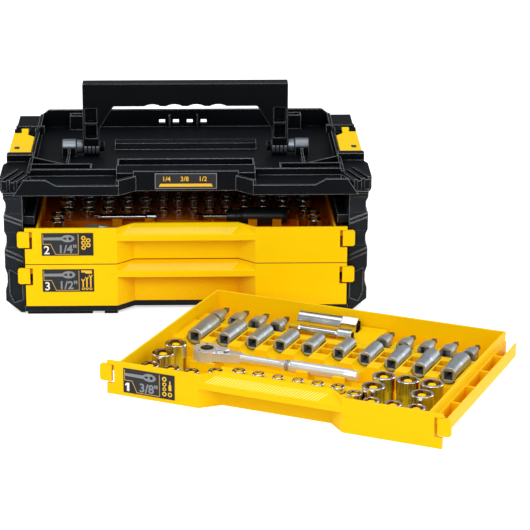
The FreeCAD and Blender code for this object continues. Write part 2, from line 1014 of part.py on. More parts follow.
def lever_paddle(at, head, low, high):
    return pad(
        "z",
        [
            (at - head * 0.22, -head * 0.2),
            (at + head * 0.55, -head * 0.26),
            (at + head * 0.75, 0),
            (at + head * 0.55, head * 0.26),
            (at - head * 0.22, head * 0.2),
        ],
        low,
        high,
    )


# Ratchet that opens up: body, cover and its screws, drive gear, quick-release button, reversing lever, pawl.
def full_ratchet(head, length, drive):
    thick = head * 0.8
    gear = head * 0.62
    chamber = gear + d.pocket_clearance * 2
    at = head
    pawl_room = head * 0.36
    lid_low = thick * 0.84
    collar = drive * 0.75
    stem = head * 0.1
    lever_pin = head * 0.14
    button = drive * 0.57
    over = thick + d.shell_wall
    seat = head * 0.88
    screw_head = head * 0.085
    screw_shank = head * 0.05
    screw_foot = lid_low - head * 0.25
    screws = [(-head * 0.32, -head * 0.7), (-head * 0.32, head * 0.7)]

    def lid_form(slack, low, high):
        return [
            rod("z", 0, 0, low, seat + slack, high - low),
            rod("z", at, 0, low, pawl_room + d.pocket_clearance * 4 + slack, high - low),
        ]

    body = cut(
        ratchet_body(head, length),
        rod("z", 0, 0, thick * 0.22, chamber, over),
        rod("z", at, 0, thick * 0.22, pawl_room, over),
        rod("z", 0, 0, -over, collar + d.pin_clearance, over * 2),
        rod("x", at + pawl_room - d.pocket_clearance * 2, 0, thick * 0.5, stem * 0.8, head * 0.5),
        *lid_form(d.pin_clearance, lid_low, over),
        *[rod("z", x, y, screw_foot, screw_shank + d.pin_clearance, thick) for x, y in screws],
    )
    holes = [
        rod("z", 0, 0, 0, button + d.pocket_clearance, over),
        rod("z", at, 0, 0, lever_pin + d.pin_clearance, over),
    ]
    holes += [rod("z", x, y, 0, screw_head + d.pin_clearance, over) for x, y in screws]
    cover = cut(fuse(*lid_form(0, lid_low, thick)), *holes)
    heads = []
    for x, y in screws:
        top = rod("z", x, y, lid_low, screw_head, thick - lid_low)
        thread = rod("z", x, y, screw_foot + d.pin_clearance, screw_shank, lid_low - screw_foot)
        heads.append(fuse(top, thread))
    wheel = fuse(
        pad("z", gear_outline(gear.number, 24), thick * 0.26, thick * 0.76),
        rod("z", 0, 0, -d.pocket_clearance, collar, thick * 0.4),
        box(-drive / 2, drive / 2, -drive / 2, drive / 2, -drive * 1.1, 0),
    )
    wheel = cut(wheel, rod("z", 0, 0, thick * 0.1, stem + d.pin_clearance, over))
    press = fuse(
        rod("z", 0, 0, thick * 0.9, button, thick * 0.2),
        rod("z", 0, 0, thick * 0.35, stem, thick * 0.6),
    )
    paddle = fuse(
        lever_paddle(at, head, thick + d.pocket_clearance, thick * 1.2),
        rod("z", at, 0, thick * 0.78, lever_pin, thick * 0.3),
    )
    half = head * 0.22
    pawl = box(at - head * 0.27, at + head * 0.2, -half, half, thick * 0.28, thick * 0.78)
    spring = rod("x", at + head * 0.28, 0, thick * 0.5, stem * 0.7, head * 0.5)
    return {
        "body": body,
        "cover": cover,
        "cover_screws": group(*heads),
        "drive": wheel,
        "button": press,
        "lever": paddle,
        "pawl": pawl,
        "pawl_spring": spring,
    }


# Ratchet with its drive plug seated from below: body, drive and reversing lever.
def plain_ratchet(head, length, drive):
    thick = head * 0.8
    gear = head * 0.66
    at = head * 0.85
    pin = head * 0.13
    body = cut(
        ratchet_body(head, length),
        rod("z", 0, 0, -thick, gear + d.pocket_clearance, thick * 1.7),
        rod("z", at, 0, thick * 0.72, pin + d.pin_clearance, thick),
    )
    plug = fuse(
        rod("z", 0, 0, thick * 0.04, gear, thick * 0.6),
        box(-drive / 2, drive / 2, -drive / 2, drive / 2, -drive * 1.05, thick * 0.1),
    )
    paddle = fuse(
        lever_paddle(at, head, thick + d.pocket_clearance, thick * 1.2),
        rod("z", at, 0, thick * 0.78, pin, thick * 0.3),
    )
    return {"body": body, "drive": plug, "lever": paddle}


def set_down(level, pieces, prefix, x, y, z):
    for name, piece in pieces.items():
        node(in_drawer(level, group(place(group(piece), x, y, z))), f"{prefix}_{name}")


def lying(item, axis, x, y, z):
    return place(item, x, y, z, ALONG[axis])


# Bar with a drive square at its start and a drive socket at its far end.
def extension(length, radius, drive):
    collar = drive * 0.72 + 1
    bar = turned(
        [
            (0, drive),
            (radius * 1.1, drive),
            (radius, drive * 1.5),
            (radius, length - drive * 2),
            (collar, length - drive * 1.7),
            (collar, length),
            (0, length),
        ]
    )
    square = box(-drive / 2, drive / 2, -drive / 2, drive / 2, 0, drive * 1.2)
    hole = box(-drive / 2, drive / 2, -drive / 2, drive / 2, length - drive, length + drive)
    return cut(fuse(bar, square), hole)


# Top drawer: the three-eighths set, lying out on the floor.
drive = d.drive_three_eighths
rack_front = d.deep_back - d.tall_height * 1.8
deep_flats = (14, 13, 12, 11, 10, 10, 11, 12, 13, 14)
deep_lengths = [flats * 3.6 for flats in deep_flats]
deep_radii = [socket_radius(flats, drive) for flats in deep_flats]
deep_x = row_centres(deep_radii, d.deep_gap, 4, d.deep_set_gap)
tray_blocks = []
tray_pockets = []

tray_blocks.append(box(-inner_pan, inner_pan, rack_front, d.deep_back + d.pan_wall * 2, 0, d.rack_height))
for index, (flats, length) in enumerate(zip(deep_flats, deep_lengths)):
    spot = (deep_x[index], d.deep_back - length, d.deep_axis)
    node(in_drawer(1, group(lying(socket(flats, length, drive), "y", *spot))), f"deep_socket_{index + 1}")
    groove = deep_radii[index] + d.pocket_clearance
    reach = d.deep_back + d.pocket_clearance - rack_front + d.pan_wall
    tray_pockets.append(rod("y", deep_x[index], rack_front - d.pan_wall, d.deep_axis, groove, reach))
for left, right, r_left, r_right in zip(deep_x, deep_x[1:], deep_radii, deep_radii[1:]):
    low = left + r_left + d.pan_wall
    high = right - r_right - d.pan_wall
    for step in (0.3, 0.62):
        cell = rack_front + (d.deep_back - rack_front) * step
        cell_back = cell + d.socket_gap * 1.3
        tray_pockets.append(box(low, high, cell, cell_back, d.pan_wall * 2, d.rack_height + d.pan_wall))

bit_spots = [-d.pan_width / 2 + d.bit_pitch * (0.95 + index) for index in range(4)]
bit_spots += [d.pan_width / 2 - d.bit_pitch * (0.95 + index) for index in range(5)]
bit_block_end = d.bit_row + d.bit_holder_length
bay_left = bit_spots[3] + d.bit_pitch * 0.45
bay_right = bit_spots[-1] - d.bit_pitch * 0.5
block_front = d.bit_row + d.pan_wall
tray_blocks.append(box(-inner_pan, bay_left, block_front, bit_block_end, 0, d.rack_height - d.pan_wall))
tray_blocks.append(box(bay_right, inner_pan, block_front, bit_block_end, 0, d.rack_height - d.pan_wall))
bay_back = d.drawer_depth - d.pan_wall * 2
tray_blocks.append(box(bay_left, bay_right, block_front, bay_back, 0, d.rack_height - d.pan_wall))


def bit_holder():
    radius = d.bit_holder_radius
    length = d.bit_holder_length
    blank = turned(
        [
            (0, 0),
            (radius, 0),
            (radius, length * 0.5),
            (radius * 0.72, length * 0.66),
            (radius * 0.62, length),
            (0, length),
        ]
    )
    return cut(blank, box(-drive / 2, drive / 2, -drive / 2, drive / 2, -length, length * 0.35))


def driver_bit():
    flats = d.bit_holder_radius * 0.8
    shank = hexagon(0, 0, 0, flats, d.bit_length * 0.6)
    tip = doc.addObject("Part::Cone", "tip")
    bind(tip, "Radius1", flats * 0.48)
    bind(tip, "Radius2", flats * 0.18)
    bind(tip, "Height", d.bit_length * 0.4)
    place(tip, 0, 0, d.bit_length * 0.6)
    return fuse(shank, tip)


holders = []
bits = []
for spot in bit_spots:
    holders.append(lying(bit_holder(), "y", spot, d.bit_row, d.deep_axis))
    bits.append(lying(driver_bit(), "y", spot, bit_block_end, d.deep_axis))
    groove = d.bit_holder_radius + d.pocket_clearance
    tray_pockets.append(rod("y", spot, d.bit_row, d.deep_axis, groove, d.bit_holder_length + d.pan_wall))
node(in_drawer(1, group(*holders)), "bit_holders")
node(in_drawer(1, group(*bits)), "driver_bits")

plug_y = bay_back - d.plug_socket_radius - d.pan_wall
plug_x = bay_left + d.pan_wall
plug_hex = d.plug_socket_length * 0.26
plug_tube = d.plug_socket_length - plug_hex
plug_flats = d.plug_socket_radius * 1.72
plug_mouth = hexagon(0, 0, plug_tube / 2, plug_flats * 0.8, d.plug_socket_length)
plug_nut = hexagon(0, 0, plug_tube, plug_flats, plug_hex)
plug = fuse(rod("z", 0, 0, 0, d.plug_socket_radius, plug_tube), plug_nut)
plug = cut(plug, plug_mouth, rod("z", 0, 0, -drive, drive * 0.6, plug_tube))
node(in_drawer(1, group(lying(plug, "x", plug_x, plug_y, d.deep_axis))), "spark_plug_socket")
groove = d.plug_socket_radius + d.pocket_clearance
groove_x = plug_x - d.pan_wall
tray_pockets.append(rod("x", groove_x, plug_y, d.deep_axis, groove, d.plug_socket_length + d.pan_wall * 2))
bar_y = d.bit_row + d.bit_holder_length * 0.46
bar = extension(d.extension_length, d.extension_radius, drive)
node(in_drawer(1, group(lying(bar, "x", plug_x, bar_y, d.deep_axis))), "extension_bar")
groove = drive * 0.72 + 1 + d.pocket_clearance
tray_pockets.append(rod("x", groove_x, bar_y, d.deep_axis, groove, d.extension_length + d.pan_wall * 2))

short_flats = (14, 13, 12, 11, 10, 9, 8, 8, 9, 10, 11, 12, 13, 14)
short_radii = [socket_radius(flats, drive) for flats in short_flats]
short_gap = d.socket_gap / 2
short_y = d.recess_depth * 1.5
platform_half = flare + d.pan_wall
platform_back = d.recess_depth * 3.7
skin_middle = d.panel_thickness / 2
platform = stepped_line(platform_half, skin_middle, d.recess_depth + skin_middle)
platform += [(platform_half, platform_back), (-platform_half, platform_back)]
tray_blocks.append(pad("z", platform, 0, d.platform_height))
shorts = []
for flats, radius, across in zip(short_flats, short_radii, row_centres(short_radii, short_gap)):
    step = min(1.0, max(0.0, (flare.number + radius - abs(across.number)) / d.recess_flare.number))
    back = short_y + d.recess_depth * (1.2 * step)
    shorts.append(place(socket(flats, d.short_height, drive), across, back, d.pan_wall))
    tray_pockets.append(rod("z", across, back, d.pan_wall, radius + d.pocket_clearance, d.drawer_1_height))
node(in_drawer(1, group(*shorts)), "short_sockets")

tall_radius = nose_radius(18)
tall_x = inner_pan - tall_radius * 2
tall_pitch = tall_radius * 2.15
tall_spots = [(-tall_x, 0), (-tall_x, 1), (tall_x, 0), (tall_x - tall_pitch * 2, 0)]
tall_spots += [(tall_x - tall_pitch * step, 1) for step in range(3)]
talls = []
for across, step in tall_spots:
    back = short_y + tall_pitch + tall_radius * (2.6 * step)
    talls.append(place(socket(18, d.tall_height, drive), across, back, d.pan_wall))
    groove = tall_radius + d.pocket_clearance
    tray_pockets.append(rod("z", across, back, d.pan_wall, groove, d.drawer_1_height))
node(in_drawer(1, group(*talls)), "tall_sockets")

ratchet_x = -tall_x + tall_radius + d.ratchet_head + d.pan_wall * 1.6
ratchet_y = (rack_front + platform_back) / 2
ratchet_z = drive * 1.1 + d.pan_wall * 2.4
set_down(1, full_ratchet(d.ratchet_head, d.ratchet_length, drive), "ratchet", ratchet_x, ratchet_y, ratchet_z)
seat = d.ratchet_head * 0.95
tray_blocks.append(box(ratchet_x - seat, ratchet_x + seat, ratchet_y - seat, ratchet_y + seat, 0, ratchet_z))
tray_pockets.append(rod("z", ratchet_x, ratchet_y, d.pan_wall, drive, d.drawer_1_height))
grip_radius = d.ratchet_head * 0.44
grip_z = ratchet_z + d.ratchet_head * 0.4
cradle = grip_radius * 1.7
for step in (0.62, 0.86):
    across = ratchet_x + d.ratchet_length * step
    far = across + grip_radius * 2
    tray_blocks.append(box(across, far, ratchet_y - cradle, ratchet_y + cradle, 0, grip_z))
groove_x = ratchet_x + d.ratchet_length * 0.4
tray_pockets.append(rod("x", groove_x, ratchet_y, grip_z, grip_radius + d.pocket_clearance, d.ratchet_length))

bin_length = (d.drawer_depth - runner_front) / 5
for index in range(5):
    near = runner_front + bin_length * index + d.pan_wall
    tray_pockets.append(
        box(
            half_pan + d.pan_wall / 2,
            runner_out - d.pan_wall / 2,
            near,
            near + bin_length - d.pan_wall,
            runner_low + d.pan_wall,
            d.drawer_1_height,
        )
    )
slot_low = -runner_out + d.pan_wall
slot_high = -half_pan - d.pan_wall
slot_z = runner_low + d.runner_height * 0.7
for index in (1, 2, 3):
    near = runner_front + bin_length * (index + 0.2)
    far = near + bin_length * 0.6
    tray_pockets.append(box(slot_low, slot_high, near, far, slot_z, d.drawer_1_height))
make_drawer(1, d.drawer_1_height, tray_blocks, tray_pockets)

# Middle drawer: the quarter-inch set.
drive = d.drive_quarter
blocks = []
pockets = []
quarter_x = -half_pan + d.quarter_head * 5.6
quarter_y = d.recess_depth * 3.3
quarter_z = drive * 1.05 + d.pan_wall * 4
quarter_ratchet = plain_ratchet(d.quarter_head, d.quarter_length, drive)
set_down(2, quarter_ratchet, "quarter_ratchet", quarter_x, quarter_y, quarter_z)
seat = d.quarter_head * 0.95
blocks.append(box(quarter_x - seat, quarter_x + seat, quarter_y - seat, quarter_y + seat, 0, quarter_z))
pockets.append(rod("z", quarter_x, quarter_y, d.pan_wall, drive, d.drawer_2_height))
grip_radius = d.quarter_head * 0.44
grip_z = quarter_z + d.quarter_head * 0.4
cradle = grip_radius * 2
for step in (0.6, 0.85):
    across = quarter_x + d.quarter_length * step
    blocks.append(box(across, across + grip_radius * 3, quarter_y - cradle, quarter_y + cradle, 0, grip_z))
groove_x = quarter_x + d.quarter_length * 0.4
pockets.append(rod("x", groove_x, quarter_y, grip_z, grip_radius + d.pocket_clearance, d.quarter_length))
quarter_sockets = []
back_row = d.recess_depth * 6.6
block_front = back_row - d.recess_depth
block_back = d.drawer_depth * 0.86
blocks.append(box(-inner_pan, inner_pan, block_front, block_back, 0, d.rack_height - d.pan_wall))
quarter_flats = (14, 13, 12, 11, 10, 9, 8, 8, 9, 10, 11, 12, 13, 14)
quarter_radii = [socket_radius(flats, drive) for flats in quarter_flats]
quarter_row = row_centres(quarter_radii, d.socket_gap * 0.55)
for line_number in range(3):
    for flats, radius, across in zip(quarter_flats, quarter_radii, quarter_row):
        back = back_row + tall_pitch * line_number
        tall = d.short_height + d.pan_wall * 2 * line_number
        quarter_sockets.append(place(socket(flats, tall, drive), across, back, d.pan_wall))
        pockets.append(rod("z", across, back, d.pan_wall, radius + d.pocket_clearance, d.drawer_2_height))
corner_x = inner_pan - d.recess_flare
for across in (-corner_x, corner_x):
    for step in (2.6, 3.9):
        upright = socket(12, d.drawer_2_height * 0.84, drive)
        quarter_sockets.append(place(upright, across, d.recess_depth * step, d.pan_wall))
node(in_drawer(2, group(*quarter_sockets)), "quarter_sockets")
bar_y = back_row - d.recess_depth * 1.5
bar_z = d.rack_height + d.pan_wall * 2
quarter_bar = extension(d.extension_length, drive * 0.55, drive)
node(in_drawer(2, group(lying(quarter_bar, "x", quarter_x, bar_y, bar_z))), "quarter_extension")
rest = drive * 0.72 + 1 + d.pocket_clearance
for step in (0.3, 0.82):
    across = quarter_x + d.extension_length * step
    blocks.append(box(across, across + rest * 2, bar_y - rest * 1.5, bar_y + rest * 1.5, 0, bar_z))
pockets.append(rod("x", quarter_x, bar_y, bar_z, rest, d.extension_length + d.pan_wall))
spinner_x = recess * 0.8
grip = turned(
    [
        (0, 0),
        (d.spinner_radius * 0.6, 0),
        (d.spinner_radius * 0.75, d.spinner_length * 0.12),
        (d.spinner_radius * 0.72, d.spinner_length * 0.2),
        (d.spinner_radius, d.spinner_length * 0.3),
        (d.spinner_radius, d.spinner_length * 0.9),
        (d.spinner_radius * 0.7, d.spinner_length),
        (0, d.spinner_length),
    ]
)
node(in_drawer(2, group(lying(grip, "x", spinner_x, bar_y, bar_z))), "spinner_grip")
blade = fuse(
    rod("z", 0, 0, -drive * 5, drive * 0.5, drive * 5),
    box(-drive / 2, drive / 2, -drive / 2, drive / 2, -drive * 6, -drive * 4.5),
)
node(in_drawer(2, group(lying(blade, "x", spinner_x, bar_y, bar_z))), "spinner_shaft")
cradle = d.spinner_radius * 1.3
for step in (0.35, 0.75):
    across = spinner_x + d.spinner_length * step
    blocks.append(box(across, across + d.spinner_radius, bar_y - cradle, bar_y + cradle, 0, bar_z))
groove = d.spinner_radius + d.pocket_clearance
pockets.append(rod("x", spinner_x - drive * 7, bar_y, bar_z, groove, d.spinner_length + drive * 8))
for across in (-recess * 0.66, recess * 0.5, corner_x - d.recess_flare):
    blocks.append(box(across, across + d.pan_wall, bar_y - d.recess_depth, block_front, 0, bar_z))
make_drawer(2, d.drawer_2_height, blocks, pockets)

# Bottom drawer: the half-inch set and the combination wrenches.
drive = d.drive_half
blocks = []
pockets = []
half_x = -half_pan + d.half_head * 2.2
half_y = d.recess_depth * 3.7
half_z = drive * 1.05 + d.pan_wall * 2
set_down(3, plain_ratchet(d.half_head, d.half_length, drive), "half_ratchet", half_x, half_y, half_z)
seat = d.half_head * 0.9
blocks.append(box(half_x - seat, half_x + seat, half_y - seat, half_y + seat, 0, half_z))
pockets.append(rod("z", half_x, half_y, d.pan_wall, drive, d.drawer_3_height))
grip_radius = d.half_head * 0.44
grip_z = half_z + d.half_head * 0.4
cradle = grip_radius * 1.6
for step in (0.6, 0.88):
    across = half_x + d.half_length * step
    blocks.append(box(across, across + grip_radius * 2, half_y - cradle, half_y + cradle, 0, grip_z))
groove_x = half_x + d.half_length * 0.4
pockets.append(rod("x", groove_x, half_y, grip_z, grip_radius + d.pocket_clearance, d.half_length))
half_sockets = []
half_rows = ((24, 22, 21, 19, 18, 17, 16, 15), (10, 11, 12, 13, 14, 15, 16, 17, 18))
half_back = half_y + d.half_head * 2.5
block_front = half_back - d.half_head
block_back = half_back + d.half_head * 2.7
blocks.append(box(-inner_pan, inner_pan, block_front, block_back, 0, d.rack_height - d.pan_wall))
half_tall = d.tall_height + d.pan_wall * 2
for line_number, row_flats in enumerate(half_rows):
    radii = [socket_radius(flats, drive) for flats in row_flats]
    for flats, radius, across in zip(row_flats, radii, row_centres(radii, d.socket_gap)):
        back = half_back + d.half_head * (1.65 * line_number)
        half_sockets.append(place(socket(flats, half_tall, drive), across, back, d.pan_wall))
        pockets.append(rod("z", across, back, d.pan_wall, radius + d.pocket_clearance, d.drawer_3_height))
node(in_drawer(3, group(*half_sockets)), "half_sockets")


# Combination wrench along +x: an open jaw at the start and a ring at the far end.
def wrench(flats, length):
    thick = flats * 0.42
    jaw = flats * 1.05
    ring = flats * 0.78
    steel = fuse(
        rod("z", 0, 0, 0, jaw, thick),
        rod("z", length, 0, 0, ring, thick),
        box(0, length, -flats * 0.32, flats * 0.32, thick * 0.2, thick * 0.8),
    )
    mouth = box(-jaw * 2, flats * 0.35, -flats / 2, flats / 2, -thick, thick * 2)
    return cut(steel, mouth, hexagon(length, 0, -thick, flats, thick * 3))


wrenches = []
wrench_y = half_back + d.half_head * 3.35
rest_z = d.rack_height - d.pan_wall
for index, flats in enumerate((11, 10, 9)):
    back = wrench_y + d.half_head * (1.13 * index)
    wrenches.append(place(wrench(flats, 12.5 * flats), -recess, back, rest_z))
for low, high in ((-recess * 0.95, -recess * 0.75), (recess * 0.62, recess * 1.35)):
    blocks.append(box(low, high, wrench_y - d.half_head * 0.5, wrench_y + d.half_head * 2.7, 0, rest_z))
node(in_drawer(3, group(*wrenches)), "combination_wrenches")
make_drawer(3, d.drawer_3_height, blocks, pockets)

doc.recompute()
failed = [item.Label for item in doc.Objects if {"Invalid", "Error"} & set(item.State)]
failed += [item.Label for item in nodes if item.Shape.isNull() or not item.Shape.isValid()]
if failed:
    raise RuntimeError(f"these did not build: {failed}")

os.makedirs("parts", exist_ok=True)
for item in nodes:
    item.Shape.exportStep(f"parts/{item.Label}.step")
print(len(nodes), "nodes written")
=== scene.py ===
import json
import math
import bmesh
import bpy
from mathutils import Matrix, Vector


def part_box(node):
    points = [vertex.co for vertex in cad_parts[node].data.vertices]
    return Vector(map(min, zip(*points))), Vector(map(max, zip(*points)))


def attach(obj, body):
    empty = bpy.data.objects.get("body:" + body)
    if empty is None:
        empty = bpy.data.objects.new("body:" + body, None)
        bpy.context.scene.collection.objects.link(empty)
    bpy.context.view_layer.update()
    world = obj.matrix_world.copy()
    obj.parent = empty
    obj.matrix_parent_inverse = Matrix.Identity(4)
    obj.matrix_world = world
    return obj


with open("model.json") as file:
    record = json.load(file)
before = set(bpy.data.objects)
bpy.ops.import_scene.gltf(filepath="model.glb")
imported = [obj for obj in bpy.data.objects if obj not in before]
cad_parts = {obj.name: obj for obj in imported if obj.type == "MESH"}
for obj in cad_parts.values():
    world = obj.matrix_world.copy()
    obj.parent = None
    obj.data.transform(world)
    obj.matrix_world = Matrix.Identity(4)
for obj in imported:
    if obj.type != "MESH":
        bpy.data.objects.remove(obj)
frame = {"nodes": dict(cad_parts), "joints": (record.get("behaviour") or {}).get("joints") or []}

# Three-drawer socket set: black moulded case, yellow drawers, chrome tools.
mm = 0.001
upward = Vector((0, 0, 1))
nodes = frame["nodes"]
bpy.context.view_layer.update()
slideAxis = {joint["name"]: Vector(joint["axis"]) for joint in frame["joints"]}
print("frame loaded:", len(nodes), "nodes")


def hexColour(code):
    channels = [int(code[i:i + 2], 16) / 255 for i in (1, 3, 5)]
    return [c / 12.92 if c <= 0.04045 else ((c + 0.055) / 1.055) ** 2.4 for c in channels] + [1.0]


def addNode(tree, kind, settings=None, links=None):
    shaderNode = tree.nodes.new("ShaderNode" + kind)
    for key, value in (settings or {}).items():
        if isinstance(key, int) or key in shaderNode.inputs:
            shaderNode.inputs[key].default_value = value
        else:
            setattr(shaderNode, key, value)
    for key, socket in (links or {}).items():
        tree.links.new(socket, shaderNode.inputs[key])
    return shaderNode


def startMaterial(name):
    material = bpy.data.materials.new(name)
    material.use_nodes = True
    material.node_tree.nodes.clear()
    return material, material.node_tree


# Painted highlight on the edges of moulded plastic, laid in cloudy patches: how sharply the skin turns at an
# edge, how much of the cloud takes the highlight, and how open a spot is before it counts as proud. Each pair
# goes from none to full.
edgeHighlightSpans = {"edgeTurn": (0.985, 0.8), "highlightCloud": (0.15, 0.45), "proud": (0.4, 0.65)}


def fromSpan(span):
    return {"From Min": span[0], "From Max": span[1]}


def toSpan(span):
    return {"To Min": span[0], "To Max": span[1]}


def perMetre(sizeMm):
    return 1 / (sizeMm * mm)


# Moulded plastic: a cloudy body colour with painted shade in its recesses, pale painted highlights on its
# edges where they stand proud, and the grain of the mould's spark-eroded skin.
def mouldedPlastic(finish):
    material, tree = startMaterial(finish["name"])
    place = addNode(tree, "TexCoord").outputs["Object"]
    cloud = addNode(
        tree,
        "TexNoise",
        {"Scale": perMetre(finish["cloudMm"]), "Detail": 4.0},
        {"Vector": place},
    )
    grain = addNode(
        tree,
        "TexNoise",
        {"Scale": perMetre(finish["grainMm"]), "Detail": 2.0},
        {"Vector": place},
    )
    rounded = addNode(tree, "Bevel", {"samples": 4, "Radius": finish["edgeMm"] * mm})
    plain = addNode(tree, "NewGeometry")
    alike = addNode(
        tree,
        "VectorMath",
        {"operation": "DOT_PRODUCT"},
        {0: rounded.outputs["Normal"], 1: plain.outputs["Normal"]},
    )
    edge = addNode(tree, "MapRange", fromSpan(edgeHighlightSpans["edgeTurn"]), {"Value": alike.outputs["Value"]})
    highlightCloud = addNode(tree, "MapRange", fromSpan(edgeHighlightSpans["highlightCloud"]), {"Value": cloud.outputs["Fac"]})
    shelter = addNode(tree, "AmbientOcclusion", {"samples": 8, "Distance": finish["hollowMm"] * mm})
    proud = addNode(tree, "MapRange", fromSpan(edgeHighlightSpans["proud"]), {"Value": shelter.outputs["AO"]})
    # Painted highlight: sharply turned, open edges take the pale edge colour in cloudy patches.
    highlightSpots = addNode(
        tree, "Math", {"operation": "MULTIPLY"}, {0: proud.outputs["Result"], 1: highlightCloud.outputs["Result"]}
    )
    paintedEdgeHighlight = addNode(
        tree, "Math", {"operation": "MULTIPLY"}, {0: edge.outputs["Result"], 1: highlightSpots.outputs["Value"]}
    )
    body = addNode(
        tree,
        "MixRGB",
        {"Color1": hexColour(finish["deep"]), "Color2": hexColour(finish["pale"])},
        {"Fac": cloud.outputs["Fac"]},
    )
    # Painted shade: where ambient occlusion closes in, the body colour gives way to a darker painted shade
    # colour.
    daylight = addNode(tree, "MapRange", fromSpan(finish["hollowShade"]), {"Value": shelter.outputs["AO"]})
    shaded = addNode(
        tree,
        "MixRGB",
        {"Color1": hexColour(finish["hollow"])},
        {"Fac": daylight.outputs["Result"], "Color2": body.outputs["Color"]},
    )
    colour = addNode(
        tree,
        "MixRGB",
        {"Color2": hexColour(finish["paintedEdgeHighlight"])},
        {"Fac": paintedEdgeHighlight.outputs["Value"], "Color1": shaded.outputs["Color"]},
    )
    sheen = addNode(tree, "MapRange", toSpan(finish["roughness"]), {"Value": grain.outputs["Fac"]})
    skin = addNode(
        tree,
        "Bump",
        {"Strength": finish["grainStrength"], "Distance": finish["grainDepthMm"] * mm},
        {"Height": grain.outputs["Fac"], "Normal": rounded.outputs["Normal"]},
    )
    shader = addNode(
        tree,
        "BsdfPrincipled",
        {"IOR": finish["ior"], "Specular IOR Level": finish["specular"]},
        {
            "Base Color": colour.outputs["Color"],
            "Roughness": sheen.outputs["Result"],
            "Normal": skin.outputs["Normal"],
        },
    )
    addNode(tree, "OutputMaterial", links={"Surface": shader.outputs["BSDF"]})
    return material


# Share of the smudge pattern over which a metal goes from its clearest to its dullest.
smudgeSpan = (0.3, 0.7)


# Metal: smudged reflections, faint drawn-out polishing lines, and painted shade in bores and corners.
def workedMetal(finish):
    material, tree = startMaterial(finish["name"])
    place = addNode(tree, "TexCoord").outputs["Object"]
    stretched = addNode(tree, "Mapping", {"Scale": finish["lineStretch"]}, {"Vector": place})
    smudge = addNode(
        tree,
        "TexNoise",
        {"Scale": perMetre(finish["smudgeMm"]), "Detail": 5.0},
        {"Vector": place},
    )
    lines = addNode(
        tree,
        "TexNoise",
        {"Scale": perMetre(finish["lineMm"]), "Detail": 3.0},
        {"Vector": stretched.outputs["Vector"]},
    )
    colour = addNode(
        tree,
        "MixRGB",
        {"Color1": hexColour(finish["deep"]), "Color2": hexColour(finish["pale"])},
        {"Fac": smudge.outputs["Fac"]},
    )
    # Painted shade: where ambient occlusion closes in, the colour gives way to the painted bore shade colour.
    shelter = addNode(tree, "AmbientOcclusion", {"samples": 6, "Distance": finish["boreMm"] * mm})
    paintedBoreShade = addNode(tree, "MapRange", fromSpan(finish["boreShade"]), {"Value": shelter.outputs["AO"]})
    boreShadedColour = addNode(
        tree,
        "MixRGB",
        {"Color1": hexColour(finish["paintedBoreShade"])},
        {"Fac": paintedBoreShade.outputs["Result"], "Color2": colour.outputs["Color"]},
    )
    blur = addNode(
        tree,
        "MapRange",
        {**fromSpan(smudgeSpan), **toSpan(finish["roughness"])},
        {"Value": smudge.outputs["Fac"]},
    )
    rounded = addNode(tree, "Bevel", {"samples": 4, "Radius": finish["edgeMm"] * mm})
    skin = addNode(
        tree,
        "Bump",
        {"Strength": finish["lineStrength"], "Distance": finish["lineDepthMm"] * mm},
        {"Height": lines.outputs["Fac"], "Normal": rounded.outputs["Normal"]},
    )
    shader = addNode(
        tree,
        "BsdfPrincipled",
        {"Metallic": finish["metallic"]},
        {
            "Base Color": boreShadedColour.outputs["Color"],
            "Roughness": blur.outputs["Result"],
            "Normal": skin.outputs["Normal"],
        },
    )
    addNode(tree, "OutputMaterial", links={"Surface": shader.outputs["BSDF"]})
    return material


# Skin of a screen print or a polished moulding: its tooth is shallow and its gloss low.
evenSkin = {"toothDepthMm": 0.02, "toothStrength": 0.2, "ior": 1.5, "specular": 0.3}


# Even plastic skin, of ink on film or of a polished moulding: one colour with thin spots and a slight tooth.
def evenPlastic(finish):
    material, tree = startMaterial(finish["name"])
    place = addNode(tree, "TexCoord").outputs["Object"]
    tooth = addNode(
        tree,
        "TexNoise",
        {"Scale": perMetre(finish["toothMm"]), "Detail": 3.0},
        {"Vector": place},
    )
    colour = addNode(
        tree,
        "MixRGB",
        {"Color1": hexColour(finish["deep"]), "Color2": hexColour(finish["pale"])},
        {"Fac": tooth.outputs["Fac"]},
    )
    blur = addNode(tree, "MapRange", toSpan(finish["roughness"]), {"Value": tooth.outputs["Fac"]})
    skin = addNode(
        tree,
        "Bump",
        {"Strength": evenSkin["toothStrength"], "Distance": evenSkin["toothDepthMm"] * mm},
        {"Height": tooth.outputs["Fac"]},
    )
    shader = addNode(
        tree,
        "BsdfPrincipled",
        {"IOR": evenSkin["ior"], "Specular IOR Level": evenSkin["specular"]},
        {
            "Base Color": colour.outputs["Color"],
            "Roughness": blur.outputs["Result"],
            "Normal": skin.outputs["Normal"],
        },
    )
    addNode(tree, "OutputMaterial", links={"Surface": shader.outputs["BSDF"]})
    return material


# Black polypropylene moulded in a spark-textured tool: near black, satin, with thin grey painted highlights
# on its edges and painted shade in its recesses. The real grain is about 0.3 mm and is drawn at 1.4 mm so
# that it shows.
caseBlack = mouldedPlastic({
    "name": "polypropylene_spark_textured",
    "deep": "#090C10",
    "pale": "#12161B",
    "paintedEdgeHighlight": "#C4C8CE",
    "hollow": "#010101",
    "hollowMm": 40,
    "hollowShade": (0.2, 0.9),
    "cloudMm": 55,
    "grainMm": 1.4,
    "grainDepthMm": 0.12,
    "grainStrength": 0.35,
    "edgeMm": 1.2,
    "roughness": (0.42, 0.58),
    "ior": 1.49,
    "specular": 0.045,
})

